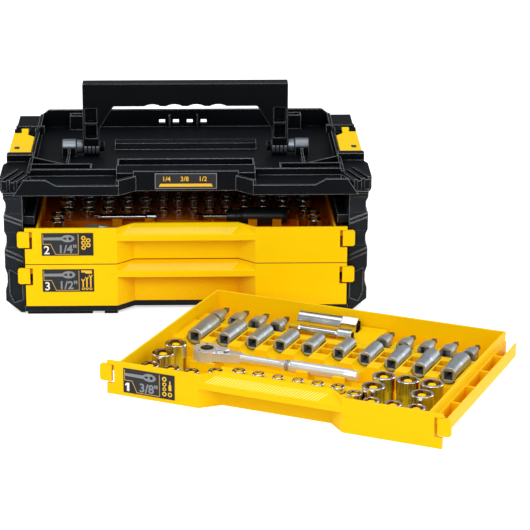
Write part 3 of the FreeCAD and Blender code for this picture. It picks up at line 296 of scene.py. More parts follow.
# The walls and base are a lighter, charcoal copy of the same plastic with a coarser grain: the lighter tone
# is painted light, and its edges and recesses take the painted highlight and shade.
wallBlack = mouldedPlastic({
    "name": "polypropylene_coarse_painted_lighter",
    "deep": "#14181D",
    "pale": "#20262C",
    "paintedEdgeHighlight": "#C4C8CE",
    "hollow": "#030303",
    "hollowMm": 30,
    "hollowShade": (0.2, 0.85),
    "cloudMm": 60,
    "grainMm": 1.7,
    "grainDepthMm": 0.16,
    "grainStrength": 0.4,
    "edgeMm": 1.2,
    "roughness": (0.44, 0.6),
    "ior": 1.49,
    "specular": 0.12,
})

# The handle is the same plastic from a smoother tool, so its lights are tighter; it takes the same painted
# edge highlight and recess shade.
handleBlack = mouldedPlastic({
    "name": "polypropylene_smooth_moulded",
    "deep": "#050708",
    "pale": "#0B0E10",
    "paintedEdgeHighlight": "#9A9EA4",
    "hollow": "#020202",
    "hollowMm": 40,
    "hollowShade": (0.2, 0.7),
    "cloudMm": 45,
    "grainMm": 2.0,
    "grainDepthMm": 0.08,
    "grainStrength": 0.25,
    "edgeMm": 1.6,
    "roughness": (0.28, 0.42),
    "ior": 1.49,
    "specular": 0.04,
})

# Yellow ABS, moulded: saturated and satin, with a pale painted highlight on its edges. Its grain is finer
# than a pixel and is drawn at 1.8 mm.
yellowFinish = {
    "deep": "#FCCE00",
    "pale": "#FFD402",
    "paintedEdgeHighlight": "#FFE152",
    "cloudMm": 80,
    "grainMm": 1.8,
    "grainDepthMm": 0.06,
    "grainStrength": 0.2,
    "edgeMm": 0.8,
    "roughness": (0.36, 0.5),
    "ior": 1.53,
    "specular": 0.08,
}
# Inside the case it is lit only by itself; its recesses take a strong painted amber shade for that.
drawerYellow = mouldedPlastic({
    **yellowFinish,
    "name": "abs_satin_housed_painted_amber_shade",
    "hollow": "#DC6600",
    "hollowMm": 150,
    "hollowShade": (0.14, 0.36),
})
# The loose drawer lies in the open: it stays an even yellow, with a little painted shade in its pockets.
trayYellow = mouldedPlastic({
    **yellowFinish,
    "name": "abs_satin_open_painted_shade",
    "deep": "#F8C800",
    "pale": "#FCCE02",
    "hollow": "#F0A600",
    "hollowMm": 25,
    "hollowShade": (0.05, 0.4),
})

# Bright chrome plate over polished steel: a near mirror with a few dull smudges, and painted amber shade in
# its bores.
chromePlate = workedMetal({
    "name": "chrome_plate_polished",
    "deep": "#C9CDD0",
    "pale": "#E2E5E7",
    "smudgeMm": 14,
    "lineMm": 1.2,
    "lineStretch": (1.0, 1.0, 0.12),
    "lineDepthMm": 0.02,
    "lineStrength": 0.12,
    "edgeMm": 0.35,
    "roughness": (0.1, 0.2),
    "metallic": 1.0,
    "boreMm": 9,
    "boreShade": (0.15, 0.62),
    "paintedBoreShade": "#E0A01C",
})

# Chrome over bead-blasted steel: an even mid grey with no sharp reflections, painted dark brown shade in its
# square holes.
blastedChrome = workedMetal({
    "name": "chrome_plate_bead_blasted",
    "deep": "#A3ACB4",
    "pale": "#B8C2C9",
    "smudgeMm": 16,
    "lineMm": 1.0,
    "lineStretch": (1.0, 1.0, 1.0),
    "lineDepthMm": 0.02,
    "lineStrength": 0.15,
    "edgeMm": 0.4,
    "roughness": (0.32, 0.4),
    "metallic": 0.82,
    "boreMm": 6,
    "boreShade": (0.36, 0.64),
    "paintedBoreShade": "#2A1002",
})

# Satin chrome of a tumbled forging: the ratchet, softer and greyer than the sockets.
satinChrome = workedMetal({
    "name": "chrome_plate_satin",
    "deep": "#DEE3E8",
    "pale": "#EAEEF1",
    "smudgeMm": 18,
    "lineMm": 0.9,
    "lineStretch": (0.2, 1.0, 1.0),
    "lineDepthMm": 0.01,
    "lineStrength": 0.05,
    "edgeMm": 0.5,
    "roughness": (0.2, 0.25),
    "metallic": 0.6,
    "boreMm": 3,
    "boreShade": (0.15, 0.62),
    # painted shade colour in bores and corners
    "paintedBoreShade": "#4A4742",
})

# Phosphated steel of the bits: dark brown-grey, dull, a little blotchy.
phosphateSteel = workedMetal({
    "name": "steel_phosphated",
    "deep": "#5A534B",
    "pale": "#857C70",
    "smudgeMm": 5,
    "lineMm": 0.8,
    "lineStretch": (1.0, 1.0, 1.0),
    "lineDepthMm": 0.03,
    "lineStrength": 0.3,
    "edgeMm": 0.3,
    "roughness": (0.34, 0.5),
    "metallic": 1.0,
    "boreMm": 3,
    "boreShade": (0.15, 0.62),
    # painted shade colour in bores and corners
    "paintedBoreShade": "#2A2622",
})

# Blackened steel of the handle's axle, worn to a mid grey: a dull metal with a soft light along it. As a
# shell on the boss's top half it is a painted highlight.
blackenedSteel = workedMetal({
    "name": "steel_blackened_polished",
    "deep": "#6B7279",
    "pale": "#8C939A",
    "smudgeMm": 9,
    "lineMm": 0.8,
    "lineStretch": (0.15, 1.0, 1.0),
    "lineDepthMm": 0.02,
    "lineStrength": 0.2,
    "edgeMm": 0.4,
    "roughness": (0.28, 0.38),
    "metallic": 0.8,
    "boreMm": 10,
    "boreShade": (0.15, 0.62),
    # painted shade colour in bores and corners
    "paintedBoreShade": "#0A0B0C",
})

# Nylon of the release button, the spinner grip, the latch's slot block and stops: deep black with a soft
# light, a faint painted edge highlight and painted shade in its recesses.
nylonBlack = mouldedPlastic({
    "name": "nylon_moulded",
    "deep": "#0B0C0D",
    "pale": "#17191B",
    "paintedEdgeHighlight": "#3A3C3F",
    "hollow": "#050505",
    "hollowMm": 6,
    "hollowShade": (0.2, 0.7),
    "cloudMm": 12,
    "grainMm": 0.9,
    "grainDepthMm": 0.05,
    "grainStrength": 0.3,
    "edgeMm": 0.5,
    "roughness": (0.3, 0.45),
    "ior": 1.53,
    "specular": 0.5,
})

# Printed polyester film and its inks; the print screen is 0.1 mm and is drawn at 0.7 mm.
printFinish = {"toothMm": 0.7, "roughness": (0.38, 0.55)}
filmCharcoal = evenPlastic({
    **printFinish,
    "name": "film_charcoal",
    "deep": "#1A1C1F",
    "pale": "#24272B",
    "toothMm": 0.9,
})
inkBlack = evenPlastic({**printFinish, "name": "ink_black", "deep": "#0D0E10", "pale": "#15171A"})
inkGrey = evenPlastic({**printFinish, "name": "ink_grey", "deep": "#7D8084", "pale": "#94979B"})
inkWhite = evenPlastic({**printFinish, "name": "ink_white", "deep": "#E9E8E4", "pale": "#F6F5F2"})
inkTan = evenPlastic({**printFinish, "name": "ink_tan", "deep": "#B8934E", "pale": "#CDA85F"})
inkYellow = evenPlastic({**printFinish, "name": "ink_yellow", "deep": "#F0B822", "pale": "#FBC934"})
# The same yellow ABS off a polished insert in the tool: the pulls' fingertip ridges, painted paler as a
# painted sheen.
ridgeSheenYellow = evenPlastic({
    "name": "abs_ridges_painted_sheen",
    "deep": "#FFDF54",
    "pale": "#FFE674",
    "toothMm": 1.5,
    "roughness": (0.3, 0.42),
})
print("materials made")

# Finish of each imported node: its material, and the radius in millimetres that its edges are broken to.
nodeFinish = [
    (caseBlack, 0.8, ["lid_deck"]),
    (wallBlack, 0.8, ["side_wall_left", "side_wall_right", "back_panel", "base_panel"]),
    (handleBlack, 2.2, ["handle_bail"]),
    (drawerYellow, 0.7, ["latch_left", "latch_right"]),
    (trayYellow, 0.5, ["drawer_1_tray", "clip_1_left", "clip_1_right"]),
    (drawerYellow, 0.5, ["drawer_2_tray", "drawer_3_tray"]),
    (drawerYellow, 0.6, [f"clip_{level}_{side}" for level in (2, 3) for side in ("left", "right")]),
    (filmCharcoal, 0.1, ["lid_badge"] + [f"drawer_{level}_label" for level in (1, 2, 3)]),
    (blastedChrome, 0.25, [f"deep_socket_{place}" for place in range(1, 11)] + ["bit_holders"]),
    (chromePlate, 0.2, ["short_sockets", "tall_sockets", "spark_plug_socket", "extension_bar"]),
    (chromePlate, 0.2, ["quarter_sockets", "half_sockets", "quarter_extension", "spinner_shaft"]),
    (phosphateSteel, 0.1, ["driver_bits", "ratchet_pawl", "ratchet_pawl_spring"]),
    (phosphateSteel, 0.1, ["case_screws", "latch_pins"]),
    (satinChrome, 0.4, ["ratchet_body", "ratchet_cover", "ratchet_drive", "ratchet_lever"]),
    (satinChrome, 0.4, ["quarter_ratchet_body", "quarter_ratchet_drive", "quarter_ratchet_lever"]),
    (satinChrome, 0.4, ["half_ratchet_body", "half_ratchet_drive", "half_ratchet_lever"]),
    (satinChrome, 0.4, ["combination_wrenches"]),
    (nylonBlack, 0.3, ["ratchet_button", "spinner_grip"]),
    (nylonBlack, 0.1, ["ratchet_cover_screws"]),
]
# Pierced steel keeps its facets: merged into one face, they would close over the holes.
piercedMetals = (chromePlate, blastedChrome, satinChrome, phosphateSteel)
edgeRounding = {"mergeMm": 0.001, "flatDegrees": 0.3, "edgeDegrees": 32, "segments": 2}


def dressNode(name, material, roundMm):
    node = nodes[name]
    node.material_slots[0].material = material
    weld = node.modifiers.new("weld", "WELD")
    weld.merge_threshold = edgeRounding["mergeMm"] * mm
    if material not in piercedMetals:
        flat = node.modifiers.new("flat", "DECIMATE")
        flat.decimate_type = "DISSOLVE"
        flat.angle_limit = math.radians(edgeRounding["flatDegrees"])
    rounding = node.modifiers.new("rounding", "BEVEL")
    rounding.width = roundMm * mm
    rounding.segments = edgeRounding["segments"]
    rounding.limit_method = "ANGLE"
    rounding.angle_limit = math.radians(edgeRounding["edgeDegrees"])
    rounding.use_clamp_overlap = True
    shading = node.modifiers.new("shading", "WEIGHTED_NORMAL")
    shading.keep_sharp = True


for material, roundMm, names in nodeFinish:
    for name in names:
        dressNode(name, material, roundMm)
print("nodes dressed:", sum(len(names) for material, roundMm, names in nodeFinish))


def addPiece(name, body, material, mesh):
    piece = bpy.data.objects.new(name, mesh)
    bpy.context.scene.collection.objects.link(piece)
    mesh.materials.append(material)
    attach(piece, body)
    return piece


# Closed prism over an outline of (across, up) points, from one height to another, placed by a matrix.
def addPrism(bm, outline, low, high, placing):
    bottom = [bm.verts.new(placing @ Vector((u, v, low))) for u, v in outline]
    top = [bm.verts.new(placing @ Vector((u, v, high))) for u, v in outline]
    bm.faces.new(bottom[::-1])
    bm.faces.new(top)
    for i in range(len(outline)):
        j = (i + 1) % len(outline)
        bm.faces.new((bottom[i], bottom[j], top[j], top[i]))


# Closed ring between two outlines with the same number of points.
def addRing(bm, outer, inner, low, high, placing):
    rows = [
        [bm.verts.new(placing @ Vector((u, v, height))) for u, v in outline]
        for outline, height in ((outer, low), (outer, high), (inner, high), (inner, low))
    ]
    for below, above in zip(rows, rows[1:] + rows[:1]):
        for i in range(len(outer)):
            j = (i + 1) % len(outer)
            bm.faces.new((below[i], below[j], above[j], above[i]))


def finishMesh(bm, name):
    bmesh.ops.recalc_face_normals(bm, faces=bm.faces)
    mesh = bpy.data.meshes.new(name)
    bm.to_mesh(mesh)
    bm.free()
    return mesh


def roundOutline(x, y, radius, corners, turn=0.0, squash=1.0):
    steps = [turn + 2 * math.pi * i / corners for i in range(corners)]
    return [(x + radius * math.cos(a), y + radius * squash * math.sin(a)) for a in steps]


# A mitre sharper than this cosine of half its bend is cut short.
mitreLimit = 0.3


# Band of one width along a line of points, mitred at the bends.
def bandOutline(points, width):
    left, right = [], []
    for i, point in enumerate(points):
        before = Vector(points[max(i - 1, 0)])
        after = Vector(points[min(i + 1, len(points) - 1)])
        here = Vector(point)
        first = (here - before).normalized() if i else (after - here).normalized()
        last = (after - here).normalized() if i < len(points) - 1 else first
        middle = (first + last).normalized()
        across = Vector((-middle.y, middle.x)) * width / 2 / max(mitreLimit, middle.dot(first))
        left.append(here + across)
        right.append(here - across)
    return [tuple(p) for p in left] + [tuple(p) for p in reversed(right)]


# Built-in type face: its size for each unit of a figure's height, and the steps along its curves.
typeFace = {"size": 1.4, "steps": 4}


# Solid figures of the built-in type face, as one mesh.
def figuresMesh(words, heightMm, weightMm, thickMm, placing):
    curve = bpy.data.curves.new("figures", "FONT")
    curve.body = words
    curve.size = heightMm * typeFace["size"] * mm
    curve.offset = weightMm * mm
    curve.extrude = thickMm / 2 * mm
    curve.resolution_u = typeFace["steps"]
    holder = bpy.data.objects.new("figures", curve)
    bpy.context.scene.collection.objects.link(holder)
    bpy.context.view_layer.update()
    mesh = bpy.data.meshes.new_from_object(holder.evaluated_get(bpy.context.evaluated_depsgraph_get()))
    bpy.data.objects.remove(holder)
    bpy.data.curves.remove(curve)
    mesh.transform(placing @ Matrix.Translation((0, 0, thickMm / 2 * mm)))
    return mesh


# Axes of a drawer front: across to the right and out of the face, from the joint that slides the drawer.
def drawerAxes(level):
    out = slideAxis[f"drawer_{level}_slide"].normalized()
    return Vector((-out.y, out.x, 0)), out


def placingFrom(origin, across, up, out):
    placing = Matrix((across, up, out)).transposed().to_4x4()
    placing.translation = origin
    return placing


def middleOf(name):
    low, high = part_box(name)
    return (Vector(low) + Vector(high)) / 2


# Millimetre outlines are drawn through this scale.
def scaled(outline):
    return [(u * mm, v * mm) for u, v in outline]


# Drawer labels: number, drive size and pictograms in inks on the charcoal film. The inks lie in layers:
# the cells and the tool first, then the lines and signs on top.
labelPrint = {
    "widthMm": 61,
    "heightMm": 28,
    "filmMm": 0.5,
    "layerMm": 0.06,
    "lineMm": 0.8,
    "frameLine": [(1.6, 26.6), (1.6, 14.4), (10.6, 14.4), (16.2, 1.8), (43.2, 1.8), (43.2, 26.6)],
    "numberCell": [(0.9, 0.9), (15.3, 0.9), (9.9, 13.2), (0.9, 13.2)],
    "symbolCell": [(44.4, 0.9), (60.1, 0.9), (60.1, 27.1), (44.4, 27.1)],
    "numberAt": (2.3, 2.2, 0.03),
    "numberMm": 10.2,
    "numberWeightMm": 0.22,
    "numberThickMm": 0.12,
    "numberLayers": (0.5, 2),
    "sizeAt": (19.0, 3.6, 0.0),
    "sizeMm": 9.8,
    "sizeWeightMm": 0.34,
    "sizeThickMm": 0.1,
}
ratchetSign = {
    "head": (31.0, 21.2),
    "headMm": 4.5,
    "long": 1.75,
    "bar": [(1.9, 19.4), (24.5, 19.1), (27.5, 18.0), (27.5, 24.0), (24.5, 22.9), (1.9, 22.6)],
    "corners": 32,
    "barLayers": 0.98,  # just under the head
    "holeLayers": (0.5, 1.6),
    "drive": (2.6, 0, 1.9),
    "lever": [(-5.6, -0.5), (-2.6, -1.4), (-1.0, 0), (-2.6, 1.4), (-5.6, 0.5)],
}
rackSign = [(46.0, 26.6), (46.0, 24.0), (50.0, 24.0), (51.4, 22.6), (58.6, 22.6), (58.6, 26.6)]
boldOne = [(2.0, 0), (4.9, 0), (4.9, 9.6), (2.5, 9.6), (0.1, 8.0), (0.1, 5.7), (2.0, 6.9)]
driveSizes = {1: "3/8", 2: "1/4", 3: "1/2"}

# Nuts are rings at (across, up, radius). A wrench is a shank with a ring below and two jaws on top.
nutSigns = {"hole": 0.48, "corners": 24}
topNuts = ((49.0, 22.6, 2.7), (49.0, 16.6, 2.4), (49.0, 11.2, 2.2), (49.0, 5.6, 2.6), (55.6, 5.6, 2.6))
middleNuts = [(x, y, 2.75) for x, y in ((49.4, 21.8), (55.0, 18.9), (49.4, 15.9), (55.0, 13.0), (49.4, 10.0))]
wrenchSigns = {
    "acrossMm": (48.0, 52.4, 57.0),
    "lowMm": 4.2,
    "highMm": 13.4,
    "growMm": 2.5,
    "halfMm": 0.85,
    "ringDropMm": 0.4,
    "ringMm": 1.8,
    "jaw": [(0, -0.8), (2.1, 1.2), (1.6, 3.2), (0.6, 1.4), (0, 0.9)],
    "jawLayers": 1.9,
}
bitSigns = {"at": (55.6, 10.2), "right": [(1.7, 0), (1.7, 6), (0.7, 6.8), (0.7, 11)]}


def nutSign(bm, x, y, radius, layer, placing):
    outer = scaled(roundOutline(x, y, radius, nutSigns["corners"]))
    inner = scaled(roundOutline(x, y, radius * nutSigns["hole"], nutSigns["corners"]))
    addRing(bm, outer, inner, layer, layer * 2, placing)


def wrenchSign(bm, x, low, high, layer, placing):
    half = wrenchSigns["halfMm"]
    shank = [(x - half, low), (x + half, low), (x + half, high), (x - half, high)]
    addPrism(bm, scaled(shank), layer, layer * 2, placing)
    nutSign(bm, x, low - wrenchSigns["ringDropMm"], wrenchSigns["ringMm"], layer, placing)
    for side in (-1, 1):
        outline = [(x + u * side, high + v) for u, v in wrenchSigns["jaw"]]
        addPrism(bm, scaled(outline[::side]), layer, layer * wrenchSigns["jawLayers"], placing)


def bitSign(bm, layer, placing):
    x, y = bitSigns["at"]
    right = bitSigns["right"]
    outline = [(x + u, y + v) for u, v in right] + [(x - u, y + v) for u, v in reversed(right)]
    addPrism(bm, scaled(outline), layer, layer * 2, placing)


def labelSymbols(level, layer, placing):
    bm = bmesh.new()
    for x, y, radius in {1: topNuts, 2: middleNuts, 3: ()}[level]:
        nutSign(bm, x, y, radius, layer, placing)
    if level == 1:
        bitSign(bm, layer, placing)
    elif level == 3:
        for i, x in enumerate(wrenchSigns["acrossMm"]):
            high = wrenchSigns["highMm"] + wrenchSigns["growMm"] * i
            wrenchSign(bm, x, wrenchSigns["lowMm"], high, layer, placing)
        addPrism(bm, scaled(rackSign), layer, layer * 2, placing)
    return finishMesh(bm, f"label_{level}_symbols")


# Drive ratchet seen from above: an egg-shaped head on a flared bar.
def labelTool(level, layer, placing):
    bm = bmesh.new()
    x, y = ratchetSign["head"]
    circle = roundOutline(x, y, ratchetSign["headMm"], ratchetSign["corners"])
    egg = [(x + (u - x) * ratchetSign["long"], v) for u, v in circle]
    addPrism(bm, scaled(egg), -layer, layer, placing)
    addPrism(bm, scaled(ratchetSign["bar"]), -layer, layer * ratchetSign["barLayers"], placing)
    return finishMesh(bm, f"label_{level}_tool")


def labelToolHoles(level, layer, placing):
    bm = bmesh.new()
    x, y = ratchetSign["head"]
    driveX, driveY, driveMm = ratchetSign["drive"]
    drive = roundOutline(x + driveX, y + driveY, driveMm, nutSigns["corners"])
    lever = [(x + u, y + v) for u, v in ratchetSign["lever"]]
    low, high = ratchetSign["holeLayers"]
    for outline in (drive, lever):
        addPrism(bm, scaled(outline), layer * low, layer * high, placing)
    return finishMesh(bm, f"label_{level}_tool_holes")


def labelNumber(level, layer, placing):
    at = placing @ Matrix.Translation(Vector(labelPrint["numberAt"]) * mm)
    weight, thick = labelPrint["numberWeightMm"], labelPrint["numberThickMm"]
    if level > 1:
        return figuresMesh(str(level), labelPrint["numberMm"], weight, thick, at)
    low, high = labelPrint["numberLayers"]
    bm = bmesh.new()
    addPrism(bm, scaled(boldOne), layer * low, layer * high, at)
    return finishMesh(bm, f"label_{level}_number")


def makeLabel(level):
    across, out = drawerAxes(level)
    name = f"drawer_{level}_label"
    body = f"drawer_{level}"
    span = across * labelPrint["widthMm"] + upward * labelPrint["heightMm"] - out * labelPrint["filmMm"]
    placing = placingFrom(middleOf(name) - span / 2 * mm, across, upward, out)
    layer = labelPrint["layerMm"] * mm
    cells = bmesh.new()
    for outline in (labelPrint["numberCell"], labelPrint["symbolCell"]):
        addPrism(cells, scaled(outline), -layer, layer, placing)
    lines = bmesh.new()
    frameLine = bandOutline(labelPrint["frameLine"], labelPrint["lineMm"])
    addPrism(lines, scaled(frameLine), -layer, layer * 2, placing)
    at = placing @ Matrix.Translation(Vector(labelPrint["sizeAt"]) * mm)
    weight, thick = labelPrint["sizeWeightMm"], labelPrint["sizeThickMm"]
    driveSize = figuresMesh(driveSizes[level] + '"', labelPrint["sizeMm"], weight, thick, at)
    prints = {
        "cells": (inkBlack, finishMesh(cells, f"label_{level}_cells")),
        "lines": (inkTan, finishMesh(lines, f"label_{level}_lines")),
        "tool": (inkGrey, labelTool(level, layer, placing)),
        "tool_holes": (inkBlack, labelToolHoles(level, layer, placing)),
        "number": (inkWhite, labelNumber(level, layer, placing)),
        "size": (inkGrey, driveSize),
        "symbols": (inkYellow, labelSymbols(level, layer, placing)),
    }
    for word, (ink, mesh) in prints.items():
        addPiece(f"label_{level}_{word}", body, ink, mesh)


for level in (1, 2, 3):
    makeLabel(level)
print("labels printed")

# Plate on the lid: a plain frame, the three drive sizes as figures, and a stripe.
badgePrint = {
    "widthMm": 74,
    "heightMm": 20,
    "layerMm": 0.08,
    "stripe": [(5, 3.2), (69, 3.2), (67, 6.8), (7, 6.8)],
    "frameMm": (0.6, 1.3),
    "figures": ("1/4", "3/8", "1/2"),
    "figuresAt": (9.0, 10.0),
    "figuresPitchMm": 21.5,
    "figuresMm": 5.6,
    "figuresWeightMm": 0.12,
    "figuresThickMm": 0.12,
}


def makeBadge():
    across, out = Vector((1, 0, 0)), Vector((0, -1, 0))
    placing = placingFrom(Vector(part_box("lid_badge")[0]), across, upward, out)
    layer = badgePrint["layerMm"] * mm
    width, height = badgePrint["widthMm"], badgePrint["heightMm"]
    stripe = bmesh.new()
    addPrism(stripe, scaled(badgePrint["stripe"]), -layer, layer, placing)
    addPiece("badge_stripe", "case", inkYellow, finishMesh(stripe, "badge_stripe"))
    frameRing = bmesh.new()
    outer, inner = [
        [(inset, inset), (width - inset, inset), (width - inset, height - inset), (inset, height - inset)]
        for inset in badgePrint["frameMm"]
    ]
    addRing(frameRing, scaled(outer), scaled(inner), -layer, layer, placing)
    addPiece("badge_frame", "case", inkGrey, finishMesh(frameRing, "badge_frame"))
    x, y = badgePrint["figuresAt"]
    weight, thick = badgePrint["figuresWeightMm"], badgePrint["figuresThickMm"]
    for i, words in enumerate(badgePrint["figures"]):
        at = placing @ Matrix.Translation(Vector((x + badgePrint["figuresPitchMm"] * i, y, 0)) * mm)
        mesh = figuresMesh(words, badgePrint["figuresMm"], weight, thick, at)
        addPiece(f"badge_figures_{i + 1}", "case", inkYellow, mesh)


makeBadge()
print("lid plate printed")

# Fine slanted ridges on the sloping face of each pull, where the fingertips go.
pullGrip = {
    "leftMm": -74,
    "rightMm": 58,
    "slopeBackMm": 19,
    "slopeRiseMm": 8.5,
    "fromMm": 1.0,
    "toMm": 13.5,
    "pitchMm": 3.6,
    "widthMm": 1.9,
    "proudMm": 0.35,
    "sunkMm": 0.02,
    "leanMm": 8.0,
    "clipHalfMm": 2.0,
}


def makePullGrip(level):
    across, out = drawerAxes(level)
    clipMiddle = (middleOf(f"clip_{level}_left") + middleOf(f"clip_{level}_right")) / 2
    slope = upward * pullGrip["slopeRiseMm"] - out * pullGrip["slopeBackMm"]
    slope.normalize()
    origin = clipMiddle + out * pullGrip["clipHalfMm"] * mm
    origin.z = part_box(f"drawer_{level}_tray")[1][2] - pullGrip["slopeRiseMm"] * mm
    placing = placingFrom(origin, across, slope, across.cross(slope))
    bm = bmesh.new()
    count = int((pullGrip["rightMm"] - pullGrip["leftMm"]) / pullGrip["pitchMm"])
    half, sunk, proud = pullGrip["widthMm"] / 2, pullGrip["sunkMm"], pullGrip["proudMm"]
    for i in range(count):
        left = pullGrip["leftMm"] + pullGrip["pitchMm"] * i
        rows = []
        for height, middle in ((pullGrip["fromMm"], left), (pullGrip["toMm"], left + pullGrip["leanMm"])):
            points = ((middle - half, -sunk), (middle, proud), (middle + half, -sunk))
            rows.append([bm.verts.new(placing @ (Vector((u, height, w)) * mm)) for u, w in points])
        near, far = rows
        bm.faces.new(near)
        bm.faces.new(far[::-1])
        for a, b in ((0, 1), (1, 2), (2, 0)):
            bm.faces.new((near[a], near[b], far[b], far[a]))
    name = f"pull_grip_{level}"
    # The ridges take the paler yellow of a painted sheen.
    addPiece(name, f"drawer_{level}", ridgeSheenYellow, finishMesh(bm, name))


for level in (1, 2, 3):
    makePullGrip(level)
print("pull grips made")

# Slanted rubbing ribs over the lid's front corner bumpers, proud of their top and front.
bumperRib = {
    "ends": [(217.0, -141.8, 46), (208.5, -148.6, 43), (199.6, -152.6, 34)],
    "widthMm": 4.6,
    "lowMm": 150.5,
    "highMm": 165.9,
    "turnDegrees": 70,
    "roundMm": 0.7,
}


def roundEdges(piece, widthMm):
    rounding = piece.modifiers.new("rounding", "BEVEL")
    rounding.width = widthMm * mm
    rounding.segments = edgeRounding["segments"]
    rounding.limit_method = "ANGLE"
    rounding.angle_limit = math.radians(edgeRounding["edgeDegrees"])


# Upright block between two corners, in millimetres.
def addBlock(bm, low, high):
    outline = [(low[0], low[1]), (high[0], low[1]), (high[0], high[1]), (low[0], high[1])]
    addPrism(bm, scaled(outline), low[2] * mm, high[2] * mm, Matrix.Identity(4))


# Turned solid from (along, radius) points in millimetres; the matrix takes its axis from +z.
def addTurned(bm, profile, placing, steps):
    rows = []
    for along, radius in profile:
        circle = roundOutline(0, 0, radius, steps)
        rows.append([bm.verts.new(placing @ (Vector((u, v, along)) * mm)) for u, v in circle])
    bm.faces.new(rows[0][::-1])
    bm.faces.new(rows[-1])
    for below, above in zip(rows, rows[1:]):
        for i in range(steps):
            j = (i + 1) % steps
            bm.faces.new((below[i], below[j], above[j], above[i]))


def makeBumperRibs(side, name):
    bm = bmesh.new()
    turn = math.radians(bumperRib["turnDegrees"])
    along = Vector((-side * math.cos(turn), math.sin(turn), 0))
    half = bumperRib["widthMm"] / 2
    for x, y, length in bumperRib["ends"]:
        placing = placingFrom(Vector((side * x, y, 0)) * mm, along, upward.cross(along), upward)
        outline = [(0, -half), (length, -half), (length, half), (0, half)]
        addPrism(bm, scaled(outline), bumperRib["lowMm"] * mm, bumperRib["highMm"] * mm, placing)
    piece = addPiece(name, "case", caseBlack, finishMesh(bm, name))
    roundEdges(piece, bumperRib["roundMm"])


sides = (("right", 1), ("left", -1))
for word, side in sides:
    makeBumperRibs(side, f"bumper_ribs_{word}")
print("bumper ribs made")

# Axle of the handle: grooved rings round the foot of each arm, a sleeve beside it, and a pale shell over the
# top half of the boss as a painted highlight.
handleAxle = {
    "yMm": 12.0,
    "zMm": 162.2,
    "ringsFrom": 107.2,
    "rings": 4,
    "ringPitch": 4.9,
    "ring": [(0, 9.4), (0, 10.1), (0.3, 10.4), (3.5, 10.4), (3.8, 10.1), (3.8, 9.4)],
    "sleeve": [(127.0, 5.0), (127.0, 7.2), (127.6, 7.8), (134.2, 8.5), (134.9, 8.0), (134.9, 5.0)],
    "cap": (136.2, 151.8),
    "capRadii": (8.7, 9.4),
    "capDegrees": 180,
    "steps": 40,
}


def makeHandleAxle(side, word):
    axle = handleAxle
    at = Vector((0, axle["yMm"], axle["zMm"])) * mm
    outward = Vector((side, 0, 0))
    placing = placingFrom(at, upward.cross(outward), upward, outward)
    bm = bmesh.new()
    for i in range(axle["rings"]):
        start = axle["ringsFrom"] + axle["ringPitch"] * i
        addTurned(bm, [(start + along, radius) for along, radius in axle["ring"]], placing, axle["steps"])
    name = f"handle_rings_{word}"
    addPiece(name, "handle", blackenedSteel, finishMesh(bm, name))
    bm = bmesh.new()
    addTurned(bm, axle["sleeve"], placing, axle["steps"])
    name = f"handle_sleeve_{word}"
    addPiece(name, "handle", blackenedSteel, finishMesh(bm, name))
    # Painted highlight: a pale metal half shell over the top of the black boss.
    angles = [math.radians(axle["capDegrees"] * i / axle["steps"]) for i in range(axle["steps"] + 1)]
    inner, outer = axle["capRadii"]
    outline = [(outer * math.cos(a), outer * math.sin(a)) for a in angles]
    outline += [(inner * math.cos(a), inner * math.sin(a)) for a in reversed(angles)]
    bm = bmesh.new()
    addPrism(bm, scaled(outline), axle["cap"][0] * mm, axle["cap"][1] * mm, placing)
    name = f"boss_highlight_shell_{word}"
    addPiece(name, "case", blackenedSteel, finishMesh(bm, name))


for word, side in sides:
    makeHandleAxle(side, word)
print("handle axle dressed")

# Latch: a ridge for the fingertip, a black block over its slot as painted shade, and two dark stops at its
# front edge.
latchTrim = {
    "topMm": 170.5,
    "ridge": (195.5, 208.0, 15.0, 17.0, 0.7),
    # Painted shade: the slot block is a black block just proud of the latch top, standing for the slot's
    # shade.
    "plug": (203.4, 209.6, -28.6, -17.6, 0.12),
    "stops": ((198.4, 200.8, -47.2, -45.2, 0.15), (208.2, 210.6, -47.2, -45.2, 0.15)),
    "deepMm": 4.2,
    "ridgeRoundMm": 0.6,
    "darkBlockRoundMm": 0.2,
}
# Ribbed bar behind the hinge, in three lengths.
hingeBar = {
    "runs": ((196.5, 213.5), (187.0, 194.5), (177.5, 185.0)),
    "y": (60.8, 66.8),
    "z": (164.6, 175.4),
    "roundMm": 1.0,
}


def latchBlock(bm, side, trim):
    x0, x1, y0, y1, proud = trim
    low, high = sorted((side * x0, side * x1))
    top = latchTrim["topMm"]
    addBlock(bm, (low, y0, top - latchTrim["deepMm"]), (high, y1, top + proud))


def makeLatchTrim(side, word):
    body = f"latch_{word}"
    bm = bmesh.new()
    latchBlock(bm, side, latchTrim["ridge"])
    name = f"latch_ridge_{word}"
    ridge = addPiece(name, body, drawerYellow, finishMesh(bm, name))
    roundEdges(ridge, latchTrim["ridgeRoundMm"])
    bm = bmesh.new()
    for trim in (latchTrim["plug"],) + latchTrim["stops"]:
        latchBlock(bm, side, trim)
    name = f"latch_slot_shade_and_stops_{word}"
    darkBlocks = addPiece(name, body, nylonBlack, finishMesh(bm, name))
    roundEdges(darkBlocks, latchTrim["darkBlockRoundMm"])
    bm = bmesh.new()
    for x0, x1 in hingeBar["runs"]:
        low, high = sorted((side * x0, side * x1))
        addBlock(bm, (low, hingeBar["y"][0], hingeBar["z"][0]), (high, hingeBar["y"][1], hingeBar["z"][1]))
    name = f"hinge_bar_{word}"
    bar = addPiece(name, "case", caseBlack, finishMesh(bm, name))
    roundEdges(bar, hingeBar["roundMm"])


for word, side in sides:
    makeLatchTrim(side, word)
print("latches trimmed")

# Stiffening ribs moulded on the back panel: two bars across and uprights between them.
backRib = {
    "halfMm": 172,
    "widthMm": 4,
    "proudMm": 1.2,
    "sunkMm": 0.3,
    "lowMm": 22,
    "highMm": 126,
    "uprights": 7,
    "roundMm": 0.5,
}


